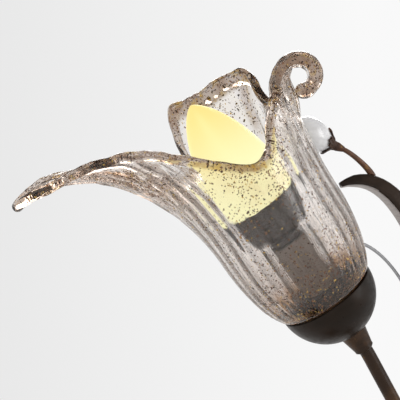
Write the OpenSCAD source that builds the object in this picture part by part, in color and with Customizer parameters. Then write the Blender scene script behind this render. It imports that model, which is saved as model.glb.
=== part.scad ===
// Table lamp with one blown-glass tulip shade on a leaning tube, a glass bud on
// an arching leaf and a wire tendril, all rising from one turned hub.
// Millimetres. +Z is up, the origin is the centre of the foot's underside, and
// the shade leans towards -X.

/* [Foot] */
// Diameter of the foot cover
foot_d = 136; // [124:1:160]
// Height of the foot cover's flat top above the table
foot_h = 34; // [30:1:44]
// Height of the cover's upright rim above the table
rim_h = 15; // [14:1:20]
// Thickness of the spun steel cover
sheet = 1.5; // [1:0.1:2.5]
// Thickness of the felt under the foot
felt_t = 2; // [1:0.5:4]
// Thickness of the cast iron weight
weight_t = 10; // [6:1:11]
// Diameter of the upright boss on the weight
boss_d = 28; // [24:1:34]
// Bore of the cable bush
cable_bore_d = 6.2; // [5:0.1:7]

/* [Column] */
// Outer diameter of the column tube
column_d = 14; // [13:0.5:18]
// Diameter of the threaded nipple that ties the foot together
nipple_d = 10; // [9:0.5:10]
// Bore of the foot nipple
nipple_bore_d = 7; // [5:0.5:8]
// Diameter of the turned hub
hub_d = 36; // [34:1:44]
// Height of the hub's centre above the table
hub_z = 222; // [190:1:280]

/* [Arm] */
// Outer diameter of the arm tube
tube_d = 6.4; // [5.6:0.1:8]
// Bore of the arm tube
tube_bore_d = 4.2; // [3.8:0.1:4.6]
// Lean of the arm tube from the upright
arm_lean = 29.6; // [25:0.1:34]
// Lean of the cup and the shade from the upright
head_lean = 36.7; // [35:0.1:45]
// Length of the straight tube from the hub's centre to the bend
arm_len = 67.8; // [60:0.1:110]
// Radius of the bend below the ferrule
bend_r = 40; // [20:1:60]

/* [Cup and lampholder] */
// Outer diameter of the cup at its rim
cup_d = 44.4; // [44:0.2:50]
// Depth of the cup below its rim
cup_depth = 20.3; // [19.5:0.1:21]
// Wall of the cup
cup_wall = 1.2; // [0.8:0.1:1.4]
// Diameter of the ferrule at the cup
ferrule_d = 12; // [11.5:0.5:16]
// Diameter of the ferrule at the tube
ferrule_end_d = 8.4; // [8.4:0.1:11]
// Length of the ferrule
ferrule_len = 9.5; // [8.5:0.5:16]
// Diameter of the threaded nipple under the lampholder
stud_d = 8; // [7:0.5:8]
// Diameter of the lampholder's sleeve
holder_d = 21; // [18:0.5:24]
// Diameter of the lampholder's threaded skirt
skirt_d = 26; // [25:0.5:28]
// Height of the lampholder's sleeve above the cup's rim
holder_top = 31; // [29:0.5:31]

/* [Shade] */
// Diameter of the shade's tubular body
body_d = 60; // [56:1:70]
// Outer diameter of the shade where it meets the cup
ring_d = 43.4; // [43:0.2:46]
// Height at which the shoulder has reached the full body
neck_h = 36; // [28:1:44]
// Distance from the shade's axis to the tip of the long petal
reach = 90; // [76:1:104]
// Height of the lowest point of the lip
valley_h = 70; // [64:1:80]
// Height of the long petal above the lowest point of the lip
rise = 46; // [40:1:54]
// Wall of the glass
glass_t = 3; // [2.4:0.1:3.4]
// Thickness of the folded lip
lip_t = 4; // [3:0.1:5]
// Number of fine ribs round the body
ribs = 24; // [24:24]
// Depth of the ribs
rib_depth = 0.5; // [0.2:0.1:0.8]
// Radius at which the curled petal starts to roll
roll_r = 8.4; // [7.6:0.1:10]
// Radius at the rolled petal's inner end
roll_end_r = 5.4; // [4.8:0.1:6]
// Angle that the curled petal rolls through
roll_turn = 285; // [180:5:300]
// Turn of the shade about its own axis
shade_turn = -13; // [-16:1:-8]
// Tilt of the blown body back from the cup's axis
shade_tilt = 1.7; // [0:0.1:2.5]

/* [Bulb] */
// Largest diameter of the bulb
bulb_d = 35; // [33:0.5:37]
// Overall length of the bulb
bulb_len = 99; // [94:1:106]
// Diameter of the bulb's screw cap
cap_d = 13.9; // [13.8:0.05:14]
// Height of the bulb's dark bowl
bowl_h = 18.4; // [14:0.2:20]

/* [Leaf] */
// Width of the leaf bar across its face, at its widest
leaf_w = 9.4; // [8:0.2:12]
// Thickness of the leaf bar from front to back
leaf_t = 8; // [6:0.2:10]
// Height of the leaf's crown above the hub's centre
leaf_rise = 134; // [130:1:140]
// Distance from the hub's axis to the leaf's tip
leaf_reach = 38; // [34:1:42]
// Distance that the leaf stands behind the arm
leaf_back = 26; // [25:1:32]
// Turn of the leaf bar about its own length
leaf_roll = 24; // [0:2:40]

/* [Bud and tendril] */
// Diameter of the glass bud
bud_d = 16.5; // [12:0.5:18]
// Length of the glass bud
bud_len = 24.5; // [20:0.5:27]
// Diameter of the bud's stem at its top
stem_d = 2.4; // [2:0.1:3.4]
// Diameter of the tendril wire
tendril_d = 1.5; // [1.2:0.1:2]

/* [Hidden] */
$fn = 96;
// Clearances
screw_gap = 0.03; // radial, screwed or pressed pieces of one body
run_gap = 0.06;   // radial, pieces that turn in each other
face_gap = 0.3;   // between faces of pieces that move apart
seat_gap = 0.1;   // between a piece and the curved face that it seats on

// Foot, from the table up
felt_d = foot_d - 2 * sheet - 1;
weight_d = foot_d - 2 * sheet - 7;
weight_top = felt_t + weight_t;
cover_skirt_z = 0.8;
boss_top = foot_h - sheet;
nut_t = 4;
nut_af = 17;
washer_t = 1.2;
washer_d = 24;
pocket_d = 26;
pocket_z = felt_t + 0.4 + nut_t + washer_t;
collar_h = 12;
collar_d = 30;
column_z0 = foot_h + collar_h;
nipple_z0 = felt_t + 0.4;
nipple_z1 = column_z0 + 14;
bush_z = (cover_skirt_z + rim_h) / 2 + 0.3;
bush_d = cable_bore_d + 2.8;
bush_flange_d = bush_d + 3;
bush_flange_t = 1.5;
bush_in = 3;
notch_w = bush_flange_d + 2;
notch_x0 = weight_d / 2 - 18;
block_x0 = boss_d / 2 + 8;
block_l = 16;
block_w = 13;
block_h = 8;
lead_z = foot_h - 12;
lead_hole_d = 5.4;
lead_d = 1.6;
lead_gap = 1.8;

// Column and hub
column_top = hub_z - hub_d / 2;
column_bore = nipple_d / 2 + screw_gap;
hub_spigot_len = 10;
hub_bore_d = 7;
finial_d = 9;
finial_h = 9;
finial_pin_d = 4;
arm_socket = 7;
band_w = 6;

// Arm and head
cup_r = cup_d / 2;
cup_in = cup_r - cup_wall;
stud_z0 = -cup_depth - ferrule_len / 2;
tube_end = stud_z0 - 0.2;
bend_z = -cup_depth - ferrule_len - 1.2;
hub_point = [0, 0, hub_z];
bend_low = hub_point + arm_len * [-sin(arm_lean), 0, cos(arm_lean)];
bend_centre = bend_low - bend_r * [cos(arm_lean), 0, sin(arm_lean)];
bend_high = bend_centre + bend_r * [cos(head_lean), 0, sin(head_lean)];
head_axis = [-sin(head_lean), 0, cos(head_lean)];
head_point = bend_high - bend_z * head_axis;

// Lampholder, from the cup's bottom up; heights are from the cup's rim
locknut_t = 3.4;
locknut_af = 12;
locknut_z = -cup_depth + cup_wall;
holder_z0 = locknut_z + locknut_t + 0.1;
flange_d = 34.4;
flange_top = -5.3;
flange_t = 2.6;
seat_z = flange_top + face_gap;
glass_floor_t = 3;
stud_z1 = holder_z0 + 5.5;
well_d = cap_d + 2 * run_gap;
well_z0 = -4;
skirt_top = 5;
gasket_t = 0.8;
gasket_z = seat_z + glass_floor_t;
shade_ring_z = gasket_z + gasket_t + face_gap;
shade_ring_d = 34.8;
shade_ring_top = skirt_top + 0.6;
floor_hole_d = skirt_d + 1.2;
foot_ring_d = 2 * (sqrt(pow(cup_in, 2) - pow(seat_z, 2)) - 0.4);
foot_ring_in_d = foot_ring_d - 4;
glass_z0 = 0.5;

// Bulb, heights from the cup's rim
bulb_z0 = 4.4;
bulb_tip = bulb_z0 + bulb_len;
contact_h = 1;
insulator_h = 3.6;
cap_z0 = bulb_z0 + contact_h + insulator_h;
neck_z = holder_top + face_gap;
neck_d = holder_d - 2.6;
cap_z1 = neck_z;
bowl_z0 = neck_z + 3;
bowl_z1 = bowl_z0 + bowl_h;
globe_wide_z = bowl_z1 + 2;
globe_t = 1;
board_t = 1.6;

// Shade
mesh_cols = 96;
shoulder_rows = 7;
petal_rows = 24;
petal_span = petal_rows - 1;
lip_warp = 14;
handle_top = 0.34;
roll_half = 9;
roll_fade = 20;
roll_taper = 0.35;
// The lip, point by point round the mouth, from the dip at the front:
// azimuth, how far out (0 body, 1 the long tip), how high (0 dip, 1 the long
// petal), tilt of the wall there (0 upright) and how stiffly it starts upward.
lip = [
    [-77, 0.00, 0.00, 5, 0.33], [-60, 0.00, 0.07, 8, 0.33],
    [-44, 0.00, 0.22, 10, 0.34], [-28, 0.05, 0.38, 12, 0.36],
    [-14, 0.08, 0.42, 10, 0.36], [0, 0.08, 0.40, 6, 0.36],
    [14, 0.07, 0.35, 8, 0.34], [24, 0.03, 0.22, 8, 0.33],
    [32, 0.04, 0.36, 14, 0.31], [43, 0.13, 0.52, 22, 0.30],
    [60, 0.06, 0.62, 12, 0.30], [78, 0.03, 0.62, 5, 0.30],
    [95, 0.06, 0.61, 12, 0.30], [111, 0.12, 0.605, 20, 0.30],
    [121, 0.08, 0.36, 16, 0.30], [129, 0.04, 0.10, 11, 0.33],
    [139, 0.09, 0.16, 20, 0.35], [148, 0.17, 0.36, 33, 0.36],
    [159, 0.30, 0.54, 50, 0.38], [169, 0.50, 0.76, 64, 0.40],
    [176, 0.80, 0.95, 80, 0.44], [180, 1.00, 0.92, 95, 0.46],
    [184, 0.87, 0.92, 90, 0.46], [187, 0.72, 0.91, 82, 0.44],
    [191, 0.53, 0.90, 70, 0.42], [202, 0.30, 0.81, 48, 0.40],
    [212, 0.19, 0.72, 35, 0.38], [223, 0.11, 0.58, 25, 0.36],
    [234, 0.05, 0.43, 17, 0.34], [245, 0.02, 0.32, 10, 0.33],
    [256, 0.00, 0.21, 6, 0.33], [270, 0.00, 0.08, 5, 0.33]
];

// Leaf, bud and tendril
leaf_foot = [10.5, 1, hub_z + 16];
leaf_tip = [-leaf_reach, leaf_back, hub_z + leaf_rise];
leaf_pull = [16, leaf_back / 2, hub_z + 0.56 * leaf_rise];
leaf_crown = [-3, leaf_back + 3, hub_z + leaf_rise + 15];
leaf_rings = 30;
leaf_pin_d = 4;
pin_in = 9;
stem_t = 0.84;
calyx_apex = [-37, leaf_back, hub_z + leaf_rise + 16.7];
bud_dir = unit([-0.93, 0, 0.37]);
bud_z0 = 2.6;
bud_gap = 0.15;
bud_pin_d = 1.2;
calyx_len = 12;
calyx_t = 0.6;
sepals = 6;
tendril_rings = 36;
tendril_foot = [0, 11, hub_z + 15.2];
tendril_pull = [14, leaf_back, hub_z + 72];
tendril_crown = [-14, leaf_back, hub_z + 106];
tendril_tip = [-31, leaf_back, hub_z + 108];

// ---------------------------------------------------------------- helpers

function unit(v) = v / norm(v);
function clamp01(x) = max(0, min(1, x));
function ease(x) = let (t = clamp01(x)) t * t * (3 - 2 * t);
function bezier(a, b, c, d, t) =
    pow(1 - t, 3) * a + 3 * t * pow(1 - t, 2) * b
    + 3 * t * t * (1 - t) * c + pow(t, 3) * d;
function bezier_dir(a, b, c, d, t) =
    unit(pow(1 - t, 2) * (b - a) + 2 * t * (1 - t) * (c - b) + t * t * (d - c));
function quarter_arc(cx, cz, r, a0, a1, steps) =
    [for (i = [0:steps]) let (a = a0 + (a1 - a0) * i / steps)
        [cx + r * cos(a), cz + r * sin(a)]];

module ring(r_out, r_in, z0, z1) {
    difference() {
        translate([0, 0, z0]) cylinder(r = r_out, h = z1 - z0);
        translate([0, 0, z0 - 1]) cylinder(r = r_in, h = z1 - z0 + 2);
    }
}

module hex_nut(af, bore_r, z0, t) {
    difference() {
        translate([0, 0, z0]) cylinder(r = af / 2 / cos(30), h = t, $fn = 6);
        translate([0, 0, z0 - 1]) cylinder(r = bore_r, h = t + 2);
    }
}

// Solid between a pile of closed rings of points, capped at both ends.
module stack_skin(rings) {
    n = len(rings[0]);
    last = len(rings) - 1;
    points = [for (r = rings) each r];
    walls = [for (j = [0:last - 1], i = [0:n - 1])
        let (a = j * n + i, b = j * n + (i + 1) % n)
        each [[a, a + n, b], [b, a + n, b + n]]];
    bottom = [[for (i = [0:n - 1]) i]];
    top = [[for (i = [n - 1:-1:0]) last * n + i]];
    polyhedron(points, concat(walls, bottom, top));
}

// Solid whose rings join up again with the first, such as a shell with a wall.
module loop_skin(rings) {
    n = len(rings[0]);
    m = len(rings);
    points = [for (r = rings) each r];
    walls = [for (j = [0:m - 1], i = [0:n - 1])
        let (k = (j + 1) % m, a = j * n + i, b = j * n + (i + 1) % n,
             c = k * n + i, d = k * n + (i + 1) % n)
        each [[a, c, b], [b, c, d]]];
    polyhedron(points, walls);
}

// Rings of a bar that follows a path; each section is a list of [across, along
// the depth] offsets, and side is the rough direction of the depth.
function path_dir(path, i) =
    unit(path[min(i + 1, len(path) - 1)] - path[max(i - 1, 0)]);
function bar_rings(path, sections, side) =
    [for (i = [0:len(path) - 1])
        let (t = path_dir(path, i),
             d = unit(side - (side * t) * t),
             w = cross(t, d),
             around = sections[i])
        [for (k = [len(around) - 1:-1:0]) path[i] + around[k][0] * w + around[k][1] * d]];
function round_section(r, sides) =
    [for (k = [0:sides - 1]) r * [cos(360 * k / sides), sin(360 * k / sides)]];

module at_head() {
    translate(head_point) rotate([0, -head_lean, 0]) children();
}

// ------------------------------------------------------------------- foot

module felt_pad() {
    color("dimgray") cylinder(d = felt_d, h = felt_t);
}

module base_weight() {
    color("darkslategray") difference() {
        union() {
            translate([0, 0, felt_t]) cylinder(d = weight_d, h = weight_t);
            cylinder(d = boss_d, h = boss_top);
        }
        translate([0, 0, -1]) cylinder(d = boss_d + 1, h = felt_t + 1);
        translate([0, 0, felt_t - 1]) cylinder(d = pocket_d, h = pocket_z - felt_t + 1);
        cylinder(r = nipple_d / 2 + screw_gap, h = foot_h);
        translate([0, 0, lead_z]) rotate([0, 90, 0]) cylinder(d = lead_hole_d, h = boss_d);
        translate([notch_x0, -notch_w / 2, 0]) cube([weight_d, notch_w, foot_h]);
    }
}

// Height of the cover's outer face over a radius, an ogee from rim to top.
function ogee(r) =
    let (r_in = collar_d / 2, r_out = foot_d / 2 - 2)
    rim_h + (foot_h - rim_h) * (1 + cos(180 * clamp01((r - r_in) / (r_out - r_in)))) / 2;

module base_cover() {
    r_out = foot_d / 2;
    steps = 22;
    r_top = collar_d / 2;
    sweep_r = [for (i = [0:steps]) r_out - 2 - (r_out - 2 - r_top) * i / steps];
    color("#3a2c26") difference() {
        rotate_extrude() difference() {
            polygon(concat(
                [[r_out, cover_skirt_z]],
                quarter_arc(r_out - 2, rim_h - 2, 2, 0, 90, 6),
                [for (r = sweep_r) [r, ogee(r)]],
                [[0, foot_h], [0, cover_skirt_z]]));
            polygon(concat(
                [[r_out - sheet, cover_skirt_z - 1]],
                quarter_arc(r_out - 2 - sheet, rim_h - 2 - sheet, 2, 0, 90, 6),
                [for (r = sweep_r) [r - sheet / 2, ogee(r) - sheet]],
                [[-1, foot_h - sheet], [-1, cover_skirt_z - 1]]));
        }
        cylinder(r = nipple_d / 2 + screw_gap, h = foot_h + 1);
        translate([0, 0, bush_z]) rotate([0, 90, 0]) cylinder(r = bush_d / 2 + screw_gap, h = foot_d);
    }
}

module base_nipple() {
    color("goldenrod") difference() {
        ring(nipple_d / 2, nipple_bore_d / 2, nipple_z0, nipple_z1);
        translate([0, 0, lead_z]) rotate([0, 90, 0]) cylinder(d = lead_hole_d, h = nipple_d);
    }
}

module base_nut() {
    color("goldenrod") hex_nut(nut_af, nipple_d / 2 + screw_gap, nipple_z0, nut_t);
}

module base_washer() {
    color("silver") ring(washer_d / 2, nipple_d / 2 + screw_gap, pocket_z - washer_t, pocket_z);
}

module cable_bush() {
    x_out = foot_d / 2;
    color("#1c1a19") translate([0, 0, bush_z]) rotate([0, 90, 0]) difference() {
        union() {
            translate([0, 0, x_out - sheet - bush_in]) cylinder(d = bush_d, h = sheet + bush_in + 0.5);
            translate([0, 0, x_out])
                cylinder(d1 = bush_flange_d, d2 = bush_flange_d - 1, h = bush_flange_t);
        }
        translate([0, 0, x_out - 2 * bush_in - sheet]) cylinder(d = cable_bore_d, h = 20);
    }
}

module terminal_block() {
    color("ivory") translate([block_x0, -block_w / 2, weight_top]) difference() {
        cube([block_l, block_w, block_h]);
        for (y = [block_w / 4, 3 * block_w / 4]) {
            translate([-1, y, block_h / 2]) rotate([0, 90, 0]) cylinder(d = 3.4, h = block_l + 2);
            for (x = [block_l / 4, 3 * block_l / 4])
                translate([x, y, block_h / 2]) cylinder(d = 2.8, h = block_h);
        }
    }
}

// ----------------------------------------------------------- column and hub

module column_collar() {
    r0 = collar_d / 2;
    r1 = column_d / 2 + 1.5;
    color("#5b3a20") rotate_extrude() polygon(concat(
        [[nipple_d / 2 + screw_gap, foot_h], [r0, foot_h]],
        quarter_arc(r0 - 1.5, foot_h + 2, 1.5, -30, 90, 6),
        quarter_arc(r0 - 1.5, foot_h + 3.5 + (r0 - 1.5 - r1), r0 - 1.5 - r1, 270, 180, 10),
        [[r1, column_z0], [nipple_d / 2 + screw_gap, column_z0]]));
}

module column() {
    r = column_d / 2;
    bead = 1.2;
    beads = [column_z0 + 4, column_z0 + 9, column_top - 14];
    color("#4a3124") rotate_extrude() difference() {
        union() {
            translate([0, column_z0]) square([r, column_top - column_z0]);
            for (z = beads) translate([r, z]) circle(r = bead, $fn = 24);
        }
        translate([-1, column_z0 - 1]) square([column_bore + 1, column_top - column_z0 + 2]);
    }
}

module column_band() {
    r = column_d / 2;
    z0 = column_top - 8;
    color("#8a6a35") rotate_extrude() polygon(concat(
        [[r + screw_gap, z0]],
        [[r + 0.8, z0]],
        quarter_arc(r + 0.8, z0 + band_w / 2, band_w / 2, -90, 90, 12),
        [[r + screw_gap, z0 + band_w]]));
}

module hub() {
    r = hub_d / 2;
    neck_r = column_d / 2 + 1;
    color("#3b2a22") difference() {
        union() {
            translate(hub_point) sphere(r = r);
            translate([0, 0, column_top]) cylinder(r1 = neck_r, r2 = neck_r + 2.5, h = 4);
            translate([0, 0, column_top - hub_spigot_len])
                cylinder(r = nipple_d / 2, h = hub_spigot_len + 2);
        }
        translate([0, 0, column_top - hub_spigot_len - 1])
            cylinder(d = hub_bore_d, h = hub_spigot_len + 3 + r);
        translate(hub_point) rotate([0, -arm_lean, 0]) {
            translate([0, 0, arm_socket]) cylinder(r = tube_d / 2 + screw_gap, h = r);
            cylinder(d = tube_bore_d, h = r);
        }
        translate([0, 0, hub_z + r - 1]) cylinder(r = r, h = 4);
        translate([0, 0, hub_z + 8]) cylinder(r = finial_pin_d / 2 + screw_gap, h = r);
        translate(leaf_foot) cylinder(r = leaf_pin_d / 2 + screw_gap, h = 20, center = true);
        translate(tendril_foot) cylinder(r = tendril_d / 2 + screw_gap, h = 20, center = true);
        translate(hub_point) rotate([0, -arm_lean, 0]) translate([0, 0, arm_socket + 4])
            rotate([-90, 0, 0]) cylinder(r = 1.5 + screw_gap, h = r);
    }
}

module hub_finial() {
    z0 = hub_z + hub_d / 2 - 1;
    r = finial_d / 2;
    color("#8a6a35") rotate_extrude() polygon(concat(
        [[0, z0 - 5], [finial_pin_d / 2, z0 - 5], [finial_pin_d / 2, z0], [r, z0], [r, z0 + 1.5]],
        quarter_arc(r - 1.2, z0 + 2.7, 1.2, -90, 0, 5),
        quarter_arc(0, z0 + finial_h - r, r - 1.2, 0, 90, 12)));
}

module grub_screw() {
    r = hub_d / 2;
    length = 6.5;
    color("silver") translate(hub_point) rotate([0, -arm_lean, 0])
        translate([0, 0, arm_socket + 4]) rotate([-90, 0, 0])
        translate([0, 0, tube_d / 2 + screw_gap]) difference() {
            cylinder(r = 1.5, h = length);
            translate([0, 0, length - 2]) cylinder(r = 0.9, h = 3, $fn = 6);
        }
}

// ----------------------------------------------------------- arm and cup

// Centre line of the arm tube, from inside the hub to inside the ferrule.
bend_steps = 4;
arm_path = concat(
    [hub_point + arm_socket * [-sin(arm_lean), 0, cos(arm_lean)]],
    [for (k = [0:bend_steps]) let (a = arm_lean + (head_lean - arm_lean) * k / bend_steps)
        bend_centre + bend_r * [cos(a), 0, sin(a)]],
    [head_point + tube_end * head_axis]);

module arm_tube() {
    sides = 24;
    outer = bar_rings(arm_path, [for (p = arm_path) round_section(tube_d / 2, sides)], [0, 1, 0]);
    inner = bar_rings(arm_path, [for (p = arm_path) round_section(tube_bore_d / 2, sides)], [0, 1, 0]);
    last = len(arm_path) - 1;
    color("#6b4a28") loop_skin(concat(outer, [for (k = [last:-1:0]) inner[k]]));
}

module ferrule() {
    z0 = -cup_depth - ferrule_len;
    z1 = -cup_depth;
    r0 = ferrule_end_d / 2;
    r1 = ferrule_d / 2;
    color("#7a5228") at_head() rotate_extrude() polygon([
        [tube_d / 2 + screw_gap, z0], [r0, z0], [r0, z0 + 1], [r1, z1 - 1.2], [r1, z1],
        [stud_d / 2 + screw_gap, z1], [stud_d / 2 + screw_gap, stud_z0 - 0.1],
        [tube_d / 2 + screw_gap, stud_z0 - 0.1]]);
}

module cup() {
    a_out = acos(-cup_depth / cup_r) - 90;
    a_in = acos(-(cup_depth - cup_wall) / cup_in) - 90;
    hole = stud_d / 2 + screw_gap;
    color("#2b1d18") at_head() rotate_extrude() polygon(concat(
        quarter_arc(0, 0, cup_r, 0, -a_out, 24),
        [[hole, -cup_depth], [hole, -cup_depth + cup_wall]],
        quarter_arc(0, 0, cup_in, -a_in, 0, 24)));
}

module cup_stud() {
    color("goldenrod") at_head() ring(stud_d / 2, stud_d / 2 - 1.4, stud_z0, stud_z1);
}

module cup_lock_nut() {
    color("silver") at_head() hex_nut(locknut_af, stud_d / 2 + screw_gap, locknut_z, locknut_t);
}

// ------------------------------------------------------------- lampholder

module lampholder() {
    color("#1d1a18") at_head() difference() {
        union() {
            translate([0, 0, holder_z0]) cylinder(d = skirt_d - 4, h = flange_top - holder_z0);
            translate([0, 0, flange_top - flange_t]) cylinder(d = flange_d, h = flange_t);
            translate([0, 0, flange_top - 1]) cylinder(d = skirt_d, h = skirt_top - flange_top + 1);
            translate([0, 0, skirt_top - 1]) cylinder(d = holder_d, h = holder_top - skirt_top + 1);
        }
        translate([0, 0, holder_z0 - 1])
            cylinder(r = stud_d / 2 + screw_gap, h = stud_z1 - holder_z0 + 1.2);
        translate([0, 0, holder_z0]) cylinder(d = stud_d - 3, h = well_z0 - holder_z0 + 1);
        translate([0, 0, well_z0]) cylinder(d = well_d, h = holder_top - well_z0 + 1);
    }
}

module centre_contact() {
    t = 0.6;
    z0 = well_z0;
    z1 = bulb_z0 - face_gap;
    color("goldenrod") at_head() rotate([90, 0, 0])
        linear_extrude(3, center = true) polygon([
            [-5.5, z0], [5, z0], [5, z0 + t], [-4.6, z0 + t], [1.4, z1 - t],
            [1.4, z1], [-1.4, z1], [-5.5, z0 + t]]);
}

module side_contact() {
    z0 = well_z0 + 0.6 + face_gap;
    color("goldenrod") at_head() intersection() {
        ring(well_d / 2, well_d / 2 - 0.8, z0, cap_z0 - 1.4);
        translate([0, -2.5, z0 - 1]) cube([20, 5, 40]);
    }
}

// ------------------------------------------------------------------ shade

// Lip values at any azimuth: a smooth curve through the lip's own points.
lip_n = len(lip);
function lip_row(i) = lip[(i + lip_n) % lip_n];
function lip_step(i) =
    let (g = lip_row(i + 1)[0] - lip_row(i)[0]) g > 0 ? g : g + 360;
function lip_slope(i, k) = (lip_row(i + 1)[k] - lip_row(i)[k]) / lip_step(i);
function lip_lean(i, k) =
    (lip_slope(i - 1, k) * lip_step(i) + lip_slope(i, k) * lip_step(i - 1))
    / (lip_step(i - 1) + lip_step(i));
function lip_at(az) =
    let (a = az < lip[0][0] ? az + 360 : az >= lip[0][0] + 360 ? az - 360 : az,
         i = max([for (j = [0:lip_n - 1]) lip[j][0] <= a ? j : 0]),
         h = lip_step(i),
         t = (a - lip[i][0]) / h)
    [for (k = [1:4])
        (2 * pow(t, 3) - 3 * t * t + 1) * lip_row(i)[k]
        + (pow(t, 3) - 2 * t * t + t) * h * lip_lean(i, k)
        + (3 * t * t - 2 * pow(t, 3)) * lip_row(i + 1)[k]
        + (pow(t, 3) - t * t) * h * lip_lean(i + 1, k)];

function body_az(i) = lip[0][0] + 360 * i / mesh_cols;
function lip_az(i) = body_az(i) - lip_warp * sin(2 * (body_az(i) - 180));
function from_curl(az) = let (d = (az + 540) % 360 - 180) abs(d);
function roll_of(az) =
    roll_turn * (1 - ease((from_curl(az) - roll_half) / (roll_fade - roll_half)));
function rib_at(i) = rib_depth * (1 + cos(ribs * 360 * i / mesh_cols)) / 2;

// Shoulder: point and outward normal at row j of column i.
function shoulder(i, j) =
    let (z = neck_h * pow(j / shoulder_rows, 1.5),
         a = 90 * z / neck_h,
         swell = body_d / 2 - ring_d / 2,
         r = ring_d / 2 + swell * pow(sin(a), 0.62) + rib_at(i) * ease(z / 12),
         s = j == 0 ? 1.2 : 0.62 * swell * pow(sin(a), -0.38) * cos(a) * 1.57 / neck_h,
         az = body_az(i),
         n = unit([cos(az), sin(az), -s]))
    [[r * cos(az), r * sin(az), glass_z0 + z], n];

// Petal: point and outward normal at row j of column i, up the wall and, on
// the curled petal, round the roll.
function petal(i, j) =
    let (az_lip = lip_az(i),
         v = lip_at(az_lip),
         foot = [body_d / 2, neck_h],
         top = [body_d / 2 + v[0] * (reach - body_d / 2), valley_h + v[1] * rise],
         len_up = norm(top - foot),
         grip = foot + [0, v[3] * len_up],
         lead = top - handle_top * len_up * [sin(v[2]), cos(v[2])],
         turn = roll_of(az_lip),
         len_roll = turn * PI / 180 * (roll_r + roll_end_r) / 2,
         m = len_up / (len_up + len_roll),
         s = j / petal_span,
         t = clamp01(s / m),
         q = bezier(foot, grip, lead, top, t),
         d = bezier_dir(foot, grip, lead, top, t),
         az = body_az(i) + (az_lip - body_az(i)) * ease(t),
         r = q[0] + rib_at(i) * (1 - ease((s - 0.45) / 0.5)),
         flat = [r * cos(az), r * sin(az), q[1]],
         flat_n = unit([d[1] * cos(az), d[1] * sin(az), -d[0]]))
    turn <= 0 || s <= m ? [flat, flat_n] :
    let (a = turn * (s - m) / (1 - m),
         rho = roll_r + (roll_end_r - roll_r) * a / roll_turn,
         to_c = [cos(v[2]), -sin(v[2])],
         along = [sin(v[2]), cos(v[2])],
         spoke = cos(a) * to_c - sin(a) * along,
         shift = roll_r * to_c - rho * spoke,
         y = flat[1] * (1 - roll_taper * a / roll_turn))
    [[flat[0] + shift[0], y, flat[2] + shift[1]], unit([spoke[0], flat_n[1] * 0.3, spoke[1]])];

rows = shoulder_rows + petal_rows;
shade_grid = [for (j = [0:rows - 1]) [for (i = [0:mesh_cols - 1])
    j < shoulder_rows ? shoulder(i, j)
    : let (p = petal(i, j - shoulder_rows)) [p[0] + [0, 0, glass_z0], p[1]]]];
function grid_p(i, j) = shade_grid[j][(i + mesh_cols) % mesh_cols][0];
function true_normal(i, j) =
    unit(cross(grid_p(i + 1, j) - grid_p(i - 1, j),
               grid_p(i, min(j + 1, rows - 1)) - grid_p(i, max(j - 1, 0))));
function in_roll(i, j) = roll_of(lip_az(i)) > 0 && j > rows - 12 ? 1 : 0;
function wall_normal(i, j) =
    unit(shade_grid[j][i][1] + 0.5 * (1 - in_roll(i, j)) * true_normal(i, j));
function wall_at(j) = glass_t + (lip_t - glass_t) * ease((j - rows + 4) / 3);
function inner_p(i, j) = grid_p(i, j) - wall_at(j) * wall_normal(i, j);
function lip_out(i) = unit(grid_p(i, rows - 1) - grid_p(i, rows - 2));

// Turns a ring of the blown glass about the cup's axis, and tilts it back more
// and more from the cup up to the full body.
function seated(ring) = [for (p = ring)
    let (x = p[0] * cos(shade_turn) - p[1] * sin(shade_turn),
         y = p[0] * sin(shade_turn) + p[1] * cos(shade_turn),
         a = shade_tilt * ease(p[2] / neck_h))
    [x * cos(a) + p[2] * sin(a), y, p[2] * cos(a) - x * sin(a)]];

module glass_shade() {
    inner_rows = [for (j = [rows - 1:-2:1]) j];
    outer = [for (j = [0:rows - 1]) [for (i = [0:mesh_cols - 1]) grid_p(i, j)]];
    bead = [for (f = [0.2, 0.8]) [for (i = [0:mesh_cols - 1])
        let (a = grid_p(i, rows - 1), b = inner_p(i, rows - 1))
        a + f * (b - a) + 0.35 * lip_t * lip_out(i)]];
    inner = [for (j = inner_rows) [for (i = [0:mesh_cols - 1]) inner_p(i, j)]];
    sill = [[for (i = [0:mesh_cols - 1]) let (az = body_az(i))
        (ring_d / 2 - glass_t) * [cos(az), sin(az), 0] + [0, 0, glass_z0]]];
    color([0.82, 0.76, 0.70, 0.45]) {
        at_head() loop_skin([for (r = concat(outer, bead, inner, sill)) seated(r)]);
        at_head() difference() {
            union() {
                translate([0, 0, seat_z]) cylinder(d = foot_ring_d, h = glass_z0 - seat_z + 0.1);
                translate([0, 0, seat_z]) cylinder(d = foot_ring_d - 0.2, h = glass_z0 - seat_z + 1.6);
            }
            translate([0, 0, seat_z + glass_floor_t]) cylinder(d = foot_ring_in_d, h = 20);
            translate([0, 0, seat_z - 1]) cylinder(d = floor_hole_d, h = 20);
        }
    }
}

module shade_gasket() {
    color("saddlebrown") at_head()
        ring(shade_ring_d / 2, floor_hole_d / 2, gasket_z, gasket_z + gasket_t);
}

module shade_ring() {
    grips = 24;
    r = shade_ring_d / 2;
    color("#1d1a18") at_head() difference() {
        union() {
            ring(r, skirt_d / 2 + run_gap, shade_ring_z, shade_ring_z + 1.8);
            ring(skirt_d / 2 + 2.4, skirt_d / 2 + run_gap, shade_ring_z, shade_ring_top);
        }
        for (k = [0:grips - 1]) rotate([0, 0, 360 * k / grips])
            translate([skirt_d / 2 + 2.8, 0, shade_ring_z + 1.8]) cylinder(r = 0.8, h = 10, $fn = 16);
    }
}

// ------------------------------------------------------------------- bulb

module bulb_cap() {
    r = cap_d / 2;
    color("silver") at_head() rotate_extrude() polygon([
        [0, cap_z0], [r - 1.6, cap_z0], [r, cap_z0 + 1.6], [r, cap_z1], [0, cap_z1]]);
}

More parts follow.
